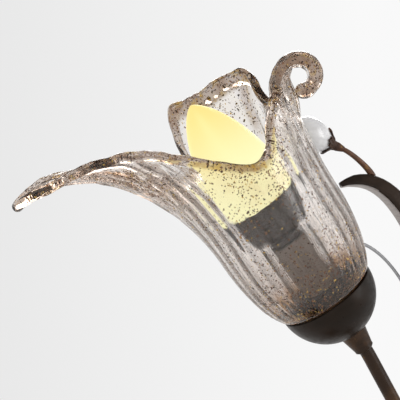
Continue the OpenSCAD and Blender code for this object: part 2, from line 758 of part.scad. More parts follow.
module bulb_insulator() {
    r = cap_d / 2 - 1.6;
    color("#15120f") at_head() translate([0, 0, bulb_z0 + contact_h])
        cylinder(r1 = 3, r2 = r, h = insulator_h - seat_gap);
}

module bulb_contact() {
    color("silver") at_head() rotate_extrude() polygon([
        [0, bulb_z0], [1.6, bulb_z0], [2.4, bulb_z0 + contact_h], [0, bulb_z0 + contact_h]]);
}

module bulb_bowl() {
    r = bulb_d / 2;
    n = neck_d / 2;
    steps = 14;
    color("#4a4644") at_head() rotate_extrude() polygon(concat(
        [[0, neck_z], [n, neck_z], [n, bowl_z0]],
        [for (i = [0:steps]) let (f = i / steps)
            [n + (r - n) * sin(90 * f), bowl_z0 + (bowl_h - 2) * (1 - cos(90 * f)) + 0.4 * f]],
        [[r, bowl_z1], [r - 1.5, bowl_z1], [r - 1.5, bowl_z1 - 3.4], [0, bowl_z1 - 3.4]]));
}

module led_board() {
    color("white") at_head() translate([0, 0, bowl_z1 - 3.4])
        cylinder(r = bulb_d / 2 - 2.5, h = board_t);
}

// Half width of the globe at a distance down from its tip.
function globe_r(d) = bulb_d / 2 * sin(90 * pow(clamp01(d / (bulb_tip - globe_wide_z)), 0.68));

module bulb_globe() {
    r = bulb_d / 2;
    steps = 22;
    drop = bulb_tip - globe_wide_z;
    outer = [for (i = [steps:-1:0]) let (d = drop * pow(i / steps, 1.6)) [globe_r(d), bulb_tip - d]];
    inner = [for (i = [0:steps]) let (d = drop * pow(i / steps, 1.6))
        [max(0, globe_r(d) - globe_t), bulb_tip - d - 1.6 * globe_t * (1 - i / steps)]];
    color([1, 0.93, 0.6]) at_head() rotate_extrude() polygon(concat(
        [[r - globe_t, bowl_z1], [r - 0.2, bowl_z1]], outer, inner));
}

// --------------------------------------------------- leaf, bud and tendril

function leaf_at(t) = bezier(leaf_foot, leaf_pull, leaf_crown, leaf_tip, t);
// Swell of the leaf bar along its length, as a share of its full size.
function leaf_swell(t) =
    max(0.36 + 0.64 * sin(180 * pow(clamp01((t + 0.08) / 1.1), 1.15)), 0.62 * (1 - t));
leaf_chamfer = 0.32;
leaf_corners = [
    for (s = [1, -1]) each [
        s * [1, leaf_chamfer - 1], s * [1, 1 - leaf_chamfer],
        s * [1 - leaf_chamfer, 1], s * [leaf_chamfer - 1, 1]]];
function leaf_section(t) =
    let (blunt = 1 - 0.35 * clamp01((t - 0.93) / 0.07),
         w = leaf_w / 2 * leaf_swell(t) * blunt,
         d = leaf_t / 2 * leaf_swell(t) * blunt)
    [for (q = leaf_corners) let (x = q[0] * w, y = q[1] * d)
        [x * cos(leaf_roll) + y * sin(leaf_roll), -x * sin(leaf_roll) + y * cos(leaf_roll)]];
leaf_pin_section = [for (q = leaf_corners) leaf_pin_d / 2 * unit(q)];

module leaf_scroll() {
    path = concat([leaf_foot - [0, 0, pin_in]], [for (k = [0:leaf_rings]) leaf_at(k / leaf_rings)]);
    sections = concat([leaf_pin_section, leaf_pin_section],
                      [for (k = [1:leaf_rings]) leaf_section(k / leaf_rings)]);
    color("#33261f") stack_skin(bar_rings(path, sections, [0, 1, 0]));
}

// The stem springs from the bar's top face and ends square to the calyx.
module bud_stem() {
    along = unit(leaf_at(stem_t + 0.01) - leaf_at(stem_t - 0.01));
    depth = unit([0, 1, 0] - along[1] * along);
    face = sin(leaf_roll) * depth - cos(leaf_roll) * cross(along, depth);
    root = leaf_at(stem_t) + (leaf_w / 2 * leaf_swell(stem_t) + seat_gap) * face;
    end = calyx_apex - seat_gap * bud_dir;
    rise_dir = unit(unit(end - root) + 0.8 * face);
    steps = 8;
    path = [for (k = [0:steps])
        bezier(root, root + 4 * rise_dir, end - 5 * bud_dir, end, k / steps)];
    sections = [for (k = [0:steps])
        round_section(stem_d / 2 + 0.6 * pow(1 - k / steps, 2), 12)];
    rings = bar_rings(path, sections, [0, 1, 0]);
    // Slides a ring's points along the stem's end onto a plane through a point of it.
    function on_plane(points, p0, n, t) = [for (p = points) p - t * ((p - p0) * n) / (t * n)];
    inner_rings = [for (k = [1:steps - 1]) rings[k]];
    color("#6b4a28") stack_skin(concat(
        [on_plane(rings[0], root, face, path_dir(path, 0))], inner_rings,
        [on_plane(rings[steps], end, bud_dir, path_dir(path, steps))]));
}

module at_bud() {
    translate(calyx_apex) rotate([0, -90 + asin(bud_dir[2]), 0]) children();
}

// Radius of the bud at a height above the calyx's apex, and its top half.
bud_wide_z = bud_z0 + bud_len - bud_d / 2 - 1;
function bud_r(z) = bud_d / 2 * sin(90 * clamp01((z - bud_z0) / (bud_wide_z - bud_z0)));

// The calyx: a thin cup of pointed sepals, open towards the bud.
module bud_calyx() {
    cols = 36;
    function edge(i) = calyx_len * (0.60 + 0.40 * abs(cos(sepals * 180 * i / cols)));
    function cup_pt(i, f, off) =
        let (z = 0.8 + (edge(i) - 0.8) * f,
             r = max(1.5, bud_r(z) + bud_gap) + 0.5 * f * f + off)
        [r * cos(360 * i / cols), r * sin(360 * i / cols), z];
    levels = [0, 0.2, 0.4, 0.6, 0.8, 1];
    outer = [for (f = levels) [for (i = [0:cols - 1]) cup_pt(i, f, calyx_t)]];
    inner = [for (k = [len(levels) - 1:-1:0]) [for (i = [0:cols - 1]) cup_pt(i, levels[k], 0)]];
    color("#8c5a26") at_bud() {
        loop_skin(concat(outer, inner));
        difference() {
            cylinder(r1 = stem_d / 2 + 0.3, r2 = 1.9, h = bud_z0 - 0.3);
            translate([0, 0, 0.6]) cylinder(r = bud_pin_d / 2 + screw_gap, h = 3);
        }
    }
}

module bud_pin() {
    color("goldenrod") at_bud() translate([0, 0, 0.7]) cylinder(d = bud_pin_d, h = 8);
}

module bud_glass() {
    r = bud_d / 2;
    steps = 20;
    profile = [for (i = [0:steps]) let (z = bud_z0 + (bud_wide_z - bud_z0) * i / steps) [bud_r(z), z]];
    tip = [for (i = [1:steps]) let (a = 90 * i / steps) [r * cos(a), bud_wide_z + (r + 1) * sin(a)]];
    color([0.96, 0.96, 0.97]) at_bud() difference() {
        rotate_extrude() polygon(concat(profile, tip));
        translate([0, 0, 0.7]) cylinder(r = bud_pin_d / 2 + screw_gap, h = 8.3);
    }
}

function tendril_at(t) = bezier(tendril_foot, tendril_pull, tendril_crown, tendril_tip, t);

module tendril() {
    path = concat([tendril_foot - [0, 0, pin_in]],
        [for (k = [0:tendril_rings]) tendril_at(k / tendril_rings)]);
    sections = [for (p = path) round_section(tendril_d / 2, 8)];
    color("#8f8f8f") stack_skin(bar_rings(path, sections, [0, 1, 0]));
}

// ------------------------------------------------------------------ leads

// Route of one lead, from the lampholder down to the terminal block.
function lead_route(side) =
    let (y = side * lead_gap / 2,
         down = [for (z = [well_z0 - 0.4, -12, stud_z0, tube_end - 3]) head_point + z * head_axis],
         bend = [for (k = [0:3]) let (a = head_lean - (head_lean - arm_lean) * k / 3)
             bend_centre + bend_r * [cos(a), 0, sin(a)]],
         arm = [for (k = [1:4]) bend_low + (hub_point - bend_low) * (0.8 * k / 4)],
         turn = [for (k = [1:6]) bezier(arm[3], hub_point + (bend_low - hub_point) * 0.09,
                                        hub_point - [0, 0, 1], hub_point - [0, 0, 14], k / 6)],
         column_line = [for (k = [1:4])
             [0, 0, hub_z - 14 + (lead_z + 10 - hub_z + 14) * k / 4]],
         out = [for (k = [1:8]) bezier([0, 0, lead_z + 10], [0, 0, lead_z], [0, 0, lead_z],
                                       [12, 0, lead_z], k / 8)],
         block_y = side * block_w / 4,
         drop = [for (k = [1:6]) bezier([12, y, lead_z], [17, y, lead_z],
             [block_x0 - 5, block_y, weight_top + block_h / 2],
             [block_x0 + 3, block_y, weight_top + block_h / 2], k / 6)])
    concat([for (p = concat(down, bend, arm, turn, column_line, out)) p + [0, y, 0]], drop);

module lead(side) {
    path = lead_route(side);
    sections = [for (p = path) round_section(lead_d / 2, 8)];
    stack_skin(bar_rings(path, sections, [0, 1, 0]));
}

module lead_live() {
    color("saddlebrown") lead(1);
}

module lead_neutral() {
    color("royalblue") lead(-1);
}

// ------------------------------------------------------------------ nodes

felt_pad();
base_weight();
base_cover();
base_nipple();
base_nut();
base_washer();
cable_bush();
terminal_block();
column_collar();
column();
column_band();
hub();
hub_finial();
grub_screw();
arm_tube();
ferrule();
cup();
cup_stud();
cup_lock_nut();
lampholder();
centre_contact();
side_contact();
glass_shade();
shade_gasket();
shade_ring();
bulb_cap();
bulb_insulator();
bulb_contact();
bulb_bowl();
led_board();
bulb_globe();
leaf_scroll();
bud_stem();
bud_calyx();
bud_pin();
bud_glass();
tendril();
lead_live();
lead_neutral();
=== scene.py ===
"""Visual model of the tulip shade table lamp.

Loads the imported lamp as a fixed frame, models the pieces whose real form is finer
than their solids, gives every piece its finish, and sets up the studio.
Sizes are in millimetres until they reach a mesh, which is in metres.
"""

import logging
import math
from collections.abc import Callable
from dataclasses import dataclass
from enum import Enum

import bpy
import numpy as np
from mathutils import Matrix, Vector, noise


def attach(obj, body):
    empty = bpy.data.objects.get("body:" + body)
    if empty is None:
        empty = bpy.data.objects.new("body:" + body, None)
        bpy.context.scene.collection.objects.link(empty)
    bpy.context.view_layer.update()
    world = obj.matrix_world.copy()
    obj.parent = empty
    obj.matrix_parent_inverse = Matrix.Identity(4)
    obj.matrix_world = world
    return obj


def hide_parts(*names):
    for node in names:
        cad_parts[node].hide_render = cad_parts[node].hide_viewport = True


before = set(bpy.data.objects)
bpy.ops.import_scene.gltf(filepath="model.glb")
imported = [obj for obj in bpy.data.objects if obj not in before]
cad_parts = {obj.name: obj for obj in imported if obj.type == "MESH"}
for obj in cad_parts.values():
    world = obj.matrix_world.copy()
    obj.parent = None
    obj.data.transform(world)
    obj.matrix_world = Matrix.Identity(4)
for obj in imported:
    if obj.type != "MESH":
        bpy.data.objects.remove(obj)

MM = 0.001
WELD = 2e-6
LOG = logging.getLogger("tulip_lamp")
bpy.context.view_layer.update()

Piece = bpy.types.Object
Socket = bpy.types.NodeSocket
Triple = tuple[float, float, float]
Profile = list[tuple[float, float]]


class Body(Enum):
    """The CAD bodies that new pieces ride on."""

    LAMP = "lamp"
    SHADE = "shade"
    BULB = "bulb"


class Smoothing(Enum):
    """Largest angle, in degrees, that still shades as one smooth face."""

    CRISP = 28.0
    ROUND = 50.0
    FLUID = 180.0


# --- places


@dataclass(frozen=True)
class Place:
    """A leaning frame in which a sub-assembly is modelled."""

    origin: Triple = (0.0, 0.0, 0.0)
    lean: float = 0.0

    def matrix(self) -> Matrix:
        """The frame's matrix: its Z leans towards -X."""
        shift = Matrix.Translation(Vector(self.origin) * MM)
        return shift @ Matrix.Rotation(math.radians(-self.lean), 4, "Y")


UPRIGHT = Place()
HEAD = Place((-54.7244, 0.0, 309.9541), 36.7)
BUD = Place((-37.0, 26.0, 372.7), 68.31)


# --- bench


def deselect() -> None:
    """Leaves edit mode and deselects everything."""
    if bpy.context.object and bpy.context.object.mode != "OBJECT":
        bpy.ops.object.mode_set(mode="OBJECT")
    bpy.ops.object.select_all(action="DESELECT")


def link(piece: Piece) -> Piece:
    """Puts a new object in the scene."""
    bpy.context.scene.collection.objects.link(piece)
    return piece


def pick(piece: Piece) -> None:
    """Makes one piece the only selected and active one.

    Args:
        piece: the object to work on.
    """
    deselect()
    piece.select_set(True)
    bpy.context.view_layer.objects.active = piece


def settle(piece: Piece, place: Place) -> None:
    """Puts a piece modelled round the origin in its place, inside its mesh.

    Args:
        piece: the finished object.
        place: the frame it was modelled in.
    """
    pick(piece)
    piece.matrix_world = place.matrix()
    bpy.ops.object.transform_apply(location=True, rotation=True, scale=True)


def smooth(piece: Piece, how: Smoothing) -> None:
    """Shades a piece smooth up to an angle."""
    pick(piece)
    bpy.ops.object.shade_smooth_by_angle(angle=math.radians(how.value))


def apply(piece: Piece, kind: str, **settings: object) -> None:
    """Adds a modifier, sets it up and applies it.

    Args:
        piece: the object to change.
        kind: the modifier's type.
        settings: values for the modifier.
    """
    pick(piece)
    step = piece.modifiers.new(kind.lower(), kind)
    for key, value in settings.items():
        setattr(step, key, value)
    bpy.ops.object.modifier_apply(modifier=step.name)


def turned(name: str, profile: Profile, place: Place = UPRIGHT, steps: int = 96,
           how: Smoothing = Smoothing.CRISP) -> Piece:
    """Turns a piece on the lathe: a profile drawn point by point and spun.

    Args:
        name: the piece's name.
        profile: radius and height of each point, the first repeated last on a ring.
        place: the frame it is turned in.
        steps: divisions round the axis.
        how: the smoothing.

    Returns:
        The finished piece.
    """
    deselect()
    bpy.ops.mesh.primitive_plane_add(size=0.01, location=(0, 0, 0))
    piece = bpy.context.object
    piece.name = piece.data.name = name
    bpy.ops.object.mode_set(mode="EDIT")
    bpy.ops.mesh.select_all(action="SELECT")
    bpy.ops.mesh.merge(type="CENTER")
    at = Vector((profile[0][0], 0, profile[0][1])) * MM
    bpy.ops.transform.translate(value=at)
    for radius, height in profile[1:]:
        to = Vector((radius, 0, height)) * MM
        bpy.ops.mesh.extrude_region_move(TRANSFORM_OT_translate={"value": to - at})
        at = to
    bpy.ops.mesh.select_all(action="SELECT")
    bpy.ops.mesh.spin(steps=steps, angle=2 * math.pi, center=(0, 0, 0), axis=(0, 0, 1))
    bpy.ops.mesh.select_all(action="SELECT")
    bpy.ops.mesh.remove_doubles(threshold=WELD)
    bpy.ops.mesh.normals_make_consistent(inside=False)
    bpy.ops.object.mode_set(mode="OBJECT")
    smooth(piece, how)
    settle(piece, place)
    return piece


def refined(name: str, node: str, levels: int, crease: float = 0.0) -> Piece:
    """Works up a copy of a node's solid into a finer form.

    Args:
        name: the new piece's name.
        node: the CAD node that is copied.
        levels: subdivision levels.
        crease: crease on the edges sharper than 30 degrees.

    Returns:
        The new piece, in the node's place.
    """
    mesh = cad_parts[node].data.copy()
    piece = link(bpy.data.objects.new(name, mesh))
    pick(piece)
    bpy.ops.object.mode_set(mode="EDIT")
    bpy.ops.mesh.select_all(action="SELECT")
    bpy.ops.mesh.remove_doubles(threshold=WELD)
    bpy.ops.mesh.tris_convert_to_quads(face_threshold=1.2, shape_threshold=1.2)
    if crease:
        bpy.ops.mesh.select_all(action="DESELECT")
        bpy.ops.mesh.edges_select_sharp(sharpness=math.radians(30))
        bpy.ops.transform.edge_crease(value=crease)
    bpy.ops.object.mode_set(mode="OBJECT")
    mesh.name = name
    apply(piece, "SUBSURF", levels=levels, render_levels=levels)
    smooth(piece, Smoothing.ROUND)
    return piece


def rod(name: str, ends: tuple[Triple, ...], radius: float,
        cuts: int = 30) -> Piece:
    """Bends a round rod along one cubic curve.

    Args:
        name: the rod's name.
        ends: foot, two pulls and tip of the curve.
        radius: the rod's radius.
        cuts: how many points are cut into the curve.

    Returns:
        The rod as a mesh.
    """
    deselect()
    bpy.ops.curve.primitive_bezier_curve_add(location=(0, 0, 0))
    piece = bpy.context.object
    foot, pull, crown, tip = (Vector(p) * MM for p in ends)
    first, last = piece.data.splines[0].bezier_points
    for point in (first, last):
        point.handle_left_type = point.handle_right_type = "FREE"
    first.co, first.handle_right, first.handle_left = foot, pull, foot + (foot - pull) / 3
    last.co, last.handle_left, last.handle_right = tip, crown, tip + (tip - crown) / 3
    bpy.ops.object.mode_set(mode="EDIT")
    bpy.ops.curve.select_all(action="SELECT")
    bpy.ops.curve.subdivide(number_cuts=cuts)
    bpy.ops.object.mode_set(mode="OBJECT")
    piece.data.resolution_u = 3
    piece.data.bevel_depth = radius * MM
    piece.data.bevel_resolution = 4
    piece.data.use_fill_caps = True
    bpy.ops.object.convert(target="MESH")
    piece = bpy.context.object
    piece.name = piece.data.name = name
    smooth(piece, Smoothing.ROUND)
    return piece


def arc(cx: float, cz: float, r: float, start: float, end: float, steps: int) -> Profile:
    """Points of a circular arc in a profile.

    Args:
        cx: radius of its centre from the axis.
        cz: height of its centre.
        r: its own radius.
        start: first angle, in degrees.
        end: last angle.
        steps: how many steps.

    Returns:
        The points, from start to end.
    """
    turns = [math.radians(start + (end - start) * k / steps) for k in range(steps + 1)]
    return [(cx + r * math.cos(a), cz + r * math.sin(a)) for a in turns]


def ease(x: np.ndarray | float) -> np.ndarray | float:
    """Smooth step from 0 to 1."""
    t = np.clip(x, 0.0, 1.0)
    return t * t * (3 - 2 * t)


def near(x: np.ndarray, at: np.ndarray | float, width: float, power: int = 2) -> np.ndarray:
    """Falls from 1 at a place to 0 past its width, the more squarely the higher the power."""
    return np.exp(-((x - at) / width) ** power)


# --- finishes


class Tree:
    """A node tree, with short calls to add and wire its nodes."""

    def __init__(self, tree: bpy.types.NodeTree) -> None:
        """Takes a tree to work on."""
        self.tree = tree

    def add(self, kind: str, **settings: object) -> bpy.types.Node:
        """Adds a node and sets its properties.

        Args:
            kind: the node's type, without its prefix.
            settings: the node's properties.

        Returns:
            The node.
        """
        node = self.tree.nodes.new("ShaderNode" + kind)
        for key, value in settings.items():
            setattr(node, key, value)
        return node

    def join(self, source: object, target: Socket) -> None:
        """Wires a socket to another, or sets a plain value on it.

        Args:
            source: a socket or a plain value.
            target: the socket that it goes to.
        """
        if isinstance(source, Socket):
            self.tree.links.new(source, target)
        elif isinstance(source, (tuple, list)) and len(source) == 3 and target.type == "RGBA":
            target.default_value = (*source, 1.0)
        else:
            target.default_value = source

    def node(self, kind: str, feeds: dict, out: int | str = 0, **settings: object
             ) -> Socket:
        """Adds a node and feeds it.

        Args:
            kind: the node's type.
            feeds: the input sockets' numbers or names, with a value or a socket for each.
            out: the output that is wanted.
            settings: the node's properties.

        Returns:
            The output socket.
        """
        node = self.add(kind, **settings)
        for key, source in feeds.items():
            self.join(source, node.inputs[key])
        return node.outputs[out]

    def math(self, operation: str, *terms: object) -> Socket:
        """One step of arithmetic."""
        return self.node("Math", dict(enumerate(terms)), operation=operation)

    def mix(self, factor: object, a: object, b: object) -> Socket:
        """A colour between a and b."""
        return self.node("Mix", {0: factor, 6: a, 7: b}, 2, data_type="RGBA")


class Shader(Tree):
    """A material's nodes round its principled surface."""

    def __init__(self, name: str) -> None:
        """Starts a material of that name.

        Args:
            name: the material's name.
        """
        self.material = bpy.data.materials.new(name)
        self.material.use_nodes = True
        super().__init__(self.material.node_tree)
        self.surface = self.tree.nodes["Principled BSDF"]
        self.output = self.tree.nodes["Material Output"]
        self.coords = self.add("TexCoord").outputs["Object"]

    def set(self, **values: object) -> None:
        """Sets or wires the surface's sockets, underscores standing for spaces."""
        for key, value in values.items():
            self.join(value, self.surface.inputs[key.replace("_", " ")])

    def span(self, value: object, *limits: float) -> Socket:
        """Maps a range smoothly onto 0 to 1, or onto the third and fourth limit."""
        feeds = dict(enumerate((value, *limits)))
        return self.node("MapRange", feeds, interpolation_type="SMOOTHSTEP")

    def noise(self, scale: float, detail: float = 3.0, vector: object = None,
              distortion: float = 0.0) -> Socket:
        """Cloudy noise from 0 to 1, at so many waves a metre."""
        return self.node("TexNoise", {"Vector": self.coords if vector is None else vector,
                                      "Scale": scale, "Detail": detail, "Distortion": distortion})

    def stretched(self, source: object, sizes: Triple) -> Socket:
        """Coordinates scaled along each axis."""
        return self.node("Mapping", {"Vector": source, "Scale": sizes})

    def strayed(self, scale: float, by: float) -> Socket:
        """Object coordinates shifted a little by noise, in metres.

        Args:
            scale: how many waves of noise a metre.
            by: the largest shift, in metres.

        Returns:
            The output socket.
        """
        drift = self.node("TexNoise", {"Vector": self.coords, "Scale": scale}, "Color")
        return self.node("VectorMath", {0: drift, 1: (by, by, by), 2: self.coords},
                         operation="MULTIPLY_ADD")

    def cells(self, scale: float, vector: object) -> tuple[Socket, ...]:
        """Distance to the nearest of many scattered points, and two random values of it.

        Args:
            scale: how many points a metre.
            vector: the coordinates they lie in.

        Returns:
            The distance and the two values.
        """
        points = self.add("TexVoronoi")
        self.join(vector, points.inputs["Vector"])
        self.join(scale, points.inputs["Scale"])
        parts = self.add("SeparateColor")
        self.join(points.outputs["Color"], parts.inputs[0])
        return points.outputs["Distance"], parts.outputs[0], parts.outputs[1]

    def attribute(self, name: str) -> Socket:
        """A value painted on the mesh."""
        return self.add("Attribute", attribute_name=name).outputs["Fac"]

    def relief(self, height: object, depth: float, strength: float) -> None:
        """Bumps the surface.

        Args:
            height: the bump's height, from 0 to 1.
            depth: how deep it is, in millimetres.
            strength: how much of it shows.
        """
        bump = self.node("Bump", {"Strength": strength, "Distance": depth * MM, "Height": height})
        self.join(bump, self.surface.inputs["Normal"])


Colour = Triple


@dataclass(frozen=True)
class Finish:
    """A named finish. Each kind of finish wires up its own look."""

    name: str

    def wire(self, s: Shader) -> None:
        """Wires up the look; a plain finish adds nothing."""

    def material(self) -> bpy.types.Material:
        """Builds the finish.

        Returns:
            The material.
        """
        s = Shader(self.name)
        self.wire(s)
        return s.material


@dataclass(frozen=True)
class AntiqueBronze(Finish):
    """Brown-black lacquered bronze with gold showing where it is rubbed."""

    brown: Colour = (0.030, 0.017, 0.009)
    warm: Colour = (0.085, 0.045, 0.020)
    gold: Colour = (0.42, 0.24, 0.075)
    rub: float = 0.3
    shine: float = 0.38
    gloss: float = 0.3

    def wire(self, s: Shader) -> None:
        """Wires up the look.

        Args:
            s: the new material's nodes.
        """
        clouds = s.noise(60.0, 6.0, distortion=0.6)
        patches = s.noise(330.0, 5.0, distortion=0.4)
        ground = s.mix(s.span(clouds, 0.38, 0.66), self.brown, self.warm)
        worn = s.math("MULTIPLY", s.span(patches, 0.72 - 0.32 * self.rub, 0.86 - 0.3 * self.rub),
                      s.span(clouds, 0.44, 0.60))
        s.set(Base_Color=s.mix(worn, ground, self.gold),
              Metallic=s.math("MULTIPLY", worn, 0.85),
              Roughness=s.span(patches, 0.25, 0.8, self.shine - 0.08, self.shine + 0.14),
              Specular_IOR_Level=self.gloss)
        s.relief(s.noise(900.0, 4.0), 0.05, 0.5)


@dataclass(frozen=True)
class AmberGlass(Finish):
    """Smoky glass with brown rims and stains, and flakes of brown, rust and gold in it.

    Each layer of flakes has its cells a metre, a flake's radius in cells and its share of
    the density. The painted values rim, stain, fleck and foot say where each colour lies.
    The rim's brown also runs along the back petal's fold as painted shade. Low on the body,
    by the cup, the stain's brown and the foot's amber are partly a painted reflection of the cup.
    """

    clear: Colour = (0.99, 0.975, 0.965)
    stained: Colour = (0.69, 0.53, 0.42)
    # Amber at the foot: the thick glass's own tint, with a painted reflection of the cup's metal.
    foot_amber_and_reflection: Colour = (0.46, 0.27, 0.12)
    brown: Colour = (0.30, 0.185, 0.11)
    flake: Colour = (0.050, 0.022, 0.010)
    rust: Colour = (0.20, 0.085, 0.035)
    gilt: Colour = (0.52, 0.33, 0.08)
    smoke: Colour = (0.72, 0.62, 0.54)
    depth: float = 60.0
    layers: tuple[Triple, ...] = ((980.0, 0.34, 1.0), (430.0, 0.21, 0.5))

    def flakes(self, s: Shader, fleck: Socket) -> tuple[Socket, ...]:
        """Where the flakes are, and their colour.

        Args:
            s: the material.
            fleck: how dense they lie.

        Returns:
            A mask of 0 and 1, and a colour.
        """
        dense = s.math("MULTIPLY", fleck, s.span(s.noise(95.0, 2.0), 0.36, 0.62, 0.3, 1.2))
        where, masks, tones = s.strayed(900.0, 0.0018), [], []
        for cells, size, share in self.layers:
            gap, chance, tone = s.cells(cells, where)
            kept = s.math("LESS_THAN", chance, s.math("MULTIPLY", dense, share))
            masks.append(s.math("MULTIPLY", s.math("LESS_THAN", gap, size), kept))
            tones.append(tone)
        dark = s.mix(s.span(tones[0], 0.15, 0.6), self.flake, self.rust)
        colour = s.mix(s.math("GREATER_THAN", tones[0], 0.82), dark, self.gilt)
        return s.math("MAXIMUM", *masks), colour

    def wire(self, s: Shader) -> None:
        """Wires up the look.

        Args:
            s: the new material's nodes.
        """
        rim, stain_and_reflection, fleck, foot = (s.attribute(k) for k in ("rim", "stain_and_reflection", "fleck", "foot"))
        clouds = s.span(s.noise(150.0, 4.0, distortion=0.8), 0.40, 0.64)
        pools = s.span(s.noise(210.0, 2.0, distortion=0.4), 0.56, 0.66)
        patchy = s.math("MULTIPLY", stain_and_reflection, s.math("MULTIPLY_ADD", clouds, 0.65, 0.35))
        banded = s.math("MULTIPLY", rim, s.math("MULTIPLY_ADD", clouds, 0.35, 0.62))
        edged = s.mix(banded, s.mix(patchy, self.clear, self.stained), self.brown)
        gold = s.math("MULTIPLY", s.math("MULTIPLY", rim, pools), 0.8)
        # The foot's amber by the cup is partly the thick glass's own tint, partly a painted reflection
        # of the metal below.
        glass = s.mix(foot, s.mix(gold, edged, self.gilt), self.foot_amber_and_reflection)
        flaked, colour = self.flakes(s, fleck)
        s.set(Base_Color=s.mix(flaked, glass, colour), IOR=1.5,
              Transmission_Weight=s.math("SUBTRACT", 1.0, flaked),
              Roughness=s.math("MULTIPLY", flaked, 0.4))
        uv = s.add("UVMap").outputs[0]
        streaks = s.noise(1.0, 3.0, s.stretched(uv, (240.0, 5.0, 1.0)), 0.5)
        s.relief(s.math("ADD", streaks, s.noise(160.0, 2.0)), 0.22, 0.45)
        smoke = s.node("VolumeAbsorption", {"Color": self.smoke, "Density": self.depth})
        s.join(smoke, s.output.inputs["Volume"])


@dataclass(frozen=True)
class LitGlobe(Finish):
    """Frosted glass lit from inside, palest beside the board."""

    near: Colour = (1.0, 0.985, 0.57)
    far: Colour = (0.965, 0.765, 0.235)
    heart: Triple = (-87.0, 0.0, 352.0)

    def wire(self, s: Shader) -> None:
        """Wires up the look.

        Args:
            s: the new material's nodes.
        """
        heart = [v * MM for v in self.heart]
        gap = s.node("VectorMath", {0: s.coords, 1: heart}, "Value", operation="DISTANCE")
        reach = s.span(gap, 0.016, 0.050)
        glow = s.mix(reach, self.near, self.far)
        s.set(Base_Color=(0.10, 0.09, 0.06), Roughness=0.45, Emission_Color=glow,
              Emission_Strength=0.97)
        s.relief(s.noise(2500.0, 2.0), 0.02, 0.3)


@dataclass(frozen=True)
class OpalGlass(Finish):
    """White cased glass with a fire-polished skin."""

    white: Colour = (0.92, 0.915, 0.925)

    def wire(self, s: Shader) -> None:
        """Wires up the look.

        Args:
            s: the new material's nodes.
        """
        clouds = s.span(s.noise(90.0, 3.0, distortion=0.5), 0.3, 0.7)
        pale = tuple(0.93 * v for v in self.white)
        s.set(Base_Color=s.mix(clouds, self.white, pale), Roughness=0.09,
              Subsurface_Weight=0.35, Subsurface_Radius=(0.004, 0.004, 0.004),
              Coat_Weight=0.6, Coat_Roughness=0.03)
        s.relief(s.noise(200.0, 2.0), 0.08, 0.25)


@dataclass(frozen=True)
class Moulded(Finish):
    """Moulded or cast stuff with a fine grain: plastic, rubber, enamel or felt."""

    colour: Colour
    shine: float = 0.45
    grain: float = 1400.0
    depth: float = 0.03
    mottle: float = 0.12
    fuzz: float = 0.0

    def wire(self, s: Shader) -> None:
        """Wires up the look.

        Args:
            s: the new material's nodes.
        """
        clouds = s.span(s.noise(self.grain / 9, 4.0), 0.3, 0.7)
        dark = tuple(v * (1 - self.mottle) for v in self.colour)
        s.set(Base_Color=s.mix(clouds, self.colour, dark),
              Roughness=s.span(clouds, 0.0, 1.0, self.shine, min(1.0, self.shine + 0.1)),
              Sheen_Weight=self.fuzz)
        s.relief(s.noise(self.grain, 3.0), self.depth, 0.5)


@dataclass(frozen=True)
class BrightMetal(Finish):
    """Bare metal with turning or drawing marks."""

    colour: Colour
    shine: float = 0.28
    marks: Triple = (200.0, 200.0, 3000.0)

    def wire(self, s: Shader) -> None:
        """Wires up the look.

        Args:
            s: the new material's nodes.
        """
        lines = s.noise(1.0, 3.0, s.stretched(s.coords, self.marks))
        dull = tuple(0.8 * v for v in self.colour)
        s.set(Base_Color=s.mix(lines, self.colour, dull), Metallic=1.0,
              Roughness=s.span(lines, 0.2, 0.8, self.shine, self.shine + 0.15))
        s.relief(lines, 0.01, 0.4)


MADE: dict[Finish, bpy.types.Material] = {}


def made(finish: Finish) -> bpy.types.Material:
    """A finish's material, built when it is first asked for.

    Args:
        finish: the finish.

    Returns:
        The material.
    """
    if finish not in MADE:
        MADE[finish] = finish.material()
    return MADE[finish]


def dress(piece: Piece, finish: Finish) -> None:
    """Gives a piece one finish.

    Args:
        piece: a new piece or a CAD node's object.
        finish: its finish.
    """
    if not piece.data.materials:
        piece.data.materials.append(made(finish))
    for slot in piece.material_slots:
        slot.material = made(finish)


def panel(piece: Piece, finish: Finish, chosen: Callable[[object], bool]) -> None:
    """Gives some faces of a dressed piece a second finish.

    Args:
        piece: the dressed piece.
        finish: the second finish.
        chosen: says of a face whether it takes the finish.
    """
    piece.data.materials.append(made(finish))
    last = len(piece.data.materials) - 1
    for face in piece.data.polygons:
        if chosen(face):
            face.material_index = last


def fit(piece: Piece, node: str, finish: Finish, body: Body = Body.LAMP) -> None:
    """Sets a finished piece on its body in place of a CAD node.

    Args:
        piece: the finished piece.
        node: the CAD node it stands for.
        finish: its finish.
        body: the body it rides on.
    """
    dress(piece, finish)
    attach(piece, body.value)
    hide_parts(node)
    LOG.info("%s: %d faces on %s", piece.name, len(piece.data.polygons), body.value)


DARK_BRONZE = AntiqueBronze("dark_bronze", (0.020, 0.013, 0.009), (0.034, 0.021, 0.014), rub=0.0,
                            gloss=0.18)
CUP_BRONZE = AntiqueBronze("cup_bronze", (0.010, 0.0055, 0.0025), (0.017, 0.009, 0.0045), rub=-0.4,
                           shine=0.34, gloss=0.16)
RUBBED_BRONZE = AntiqueBronze("rubbed_bronze", (0.026, 0.013, 0.006), (0.075, 0.036, 0.015), rub=0.42,
                              gloss=0.2)
STEM_BRONZE = AntiqueBronze("stem_bronze", (0.06, 0.028, 0.014), (0.19, 0.085, 0.045), rub=0.4)
COLUMN_BRONZE = AntiqueBronze("column_bronze", (0.022, 0.013, 0.008), (0.06, 0.034, 0.018), rub=0.2)
CALYX_GOLD = AntiqueBronze("calyx_gold", (0.030, 0.015, 0.009), (0.13, 0.045, 0.016),
                           (0.50, 0.30, 0.09), 0.62, 0.5)
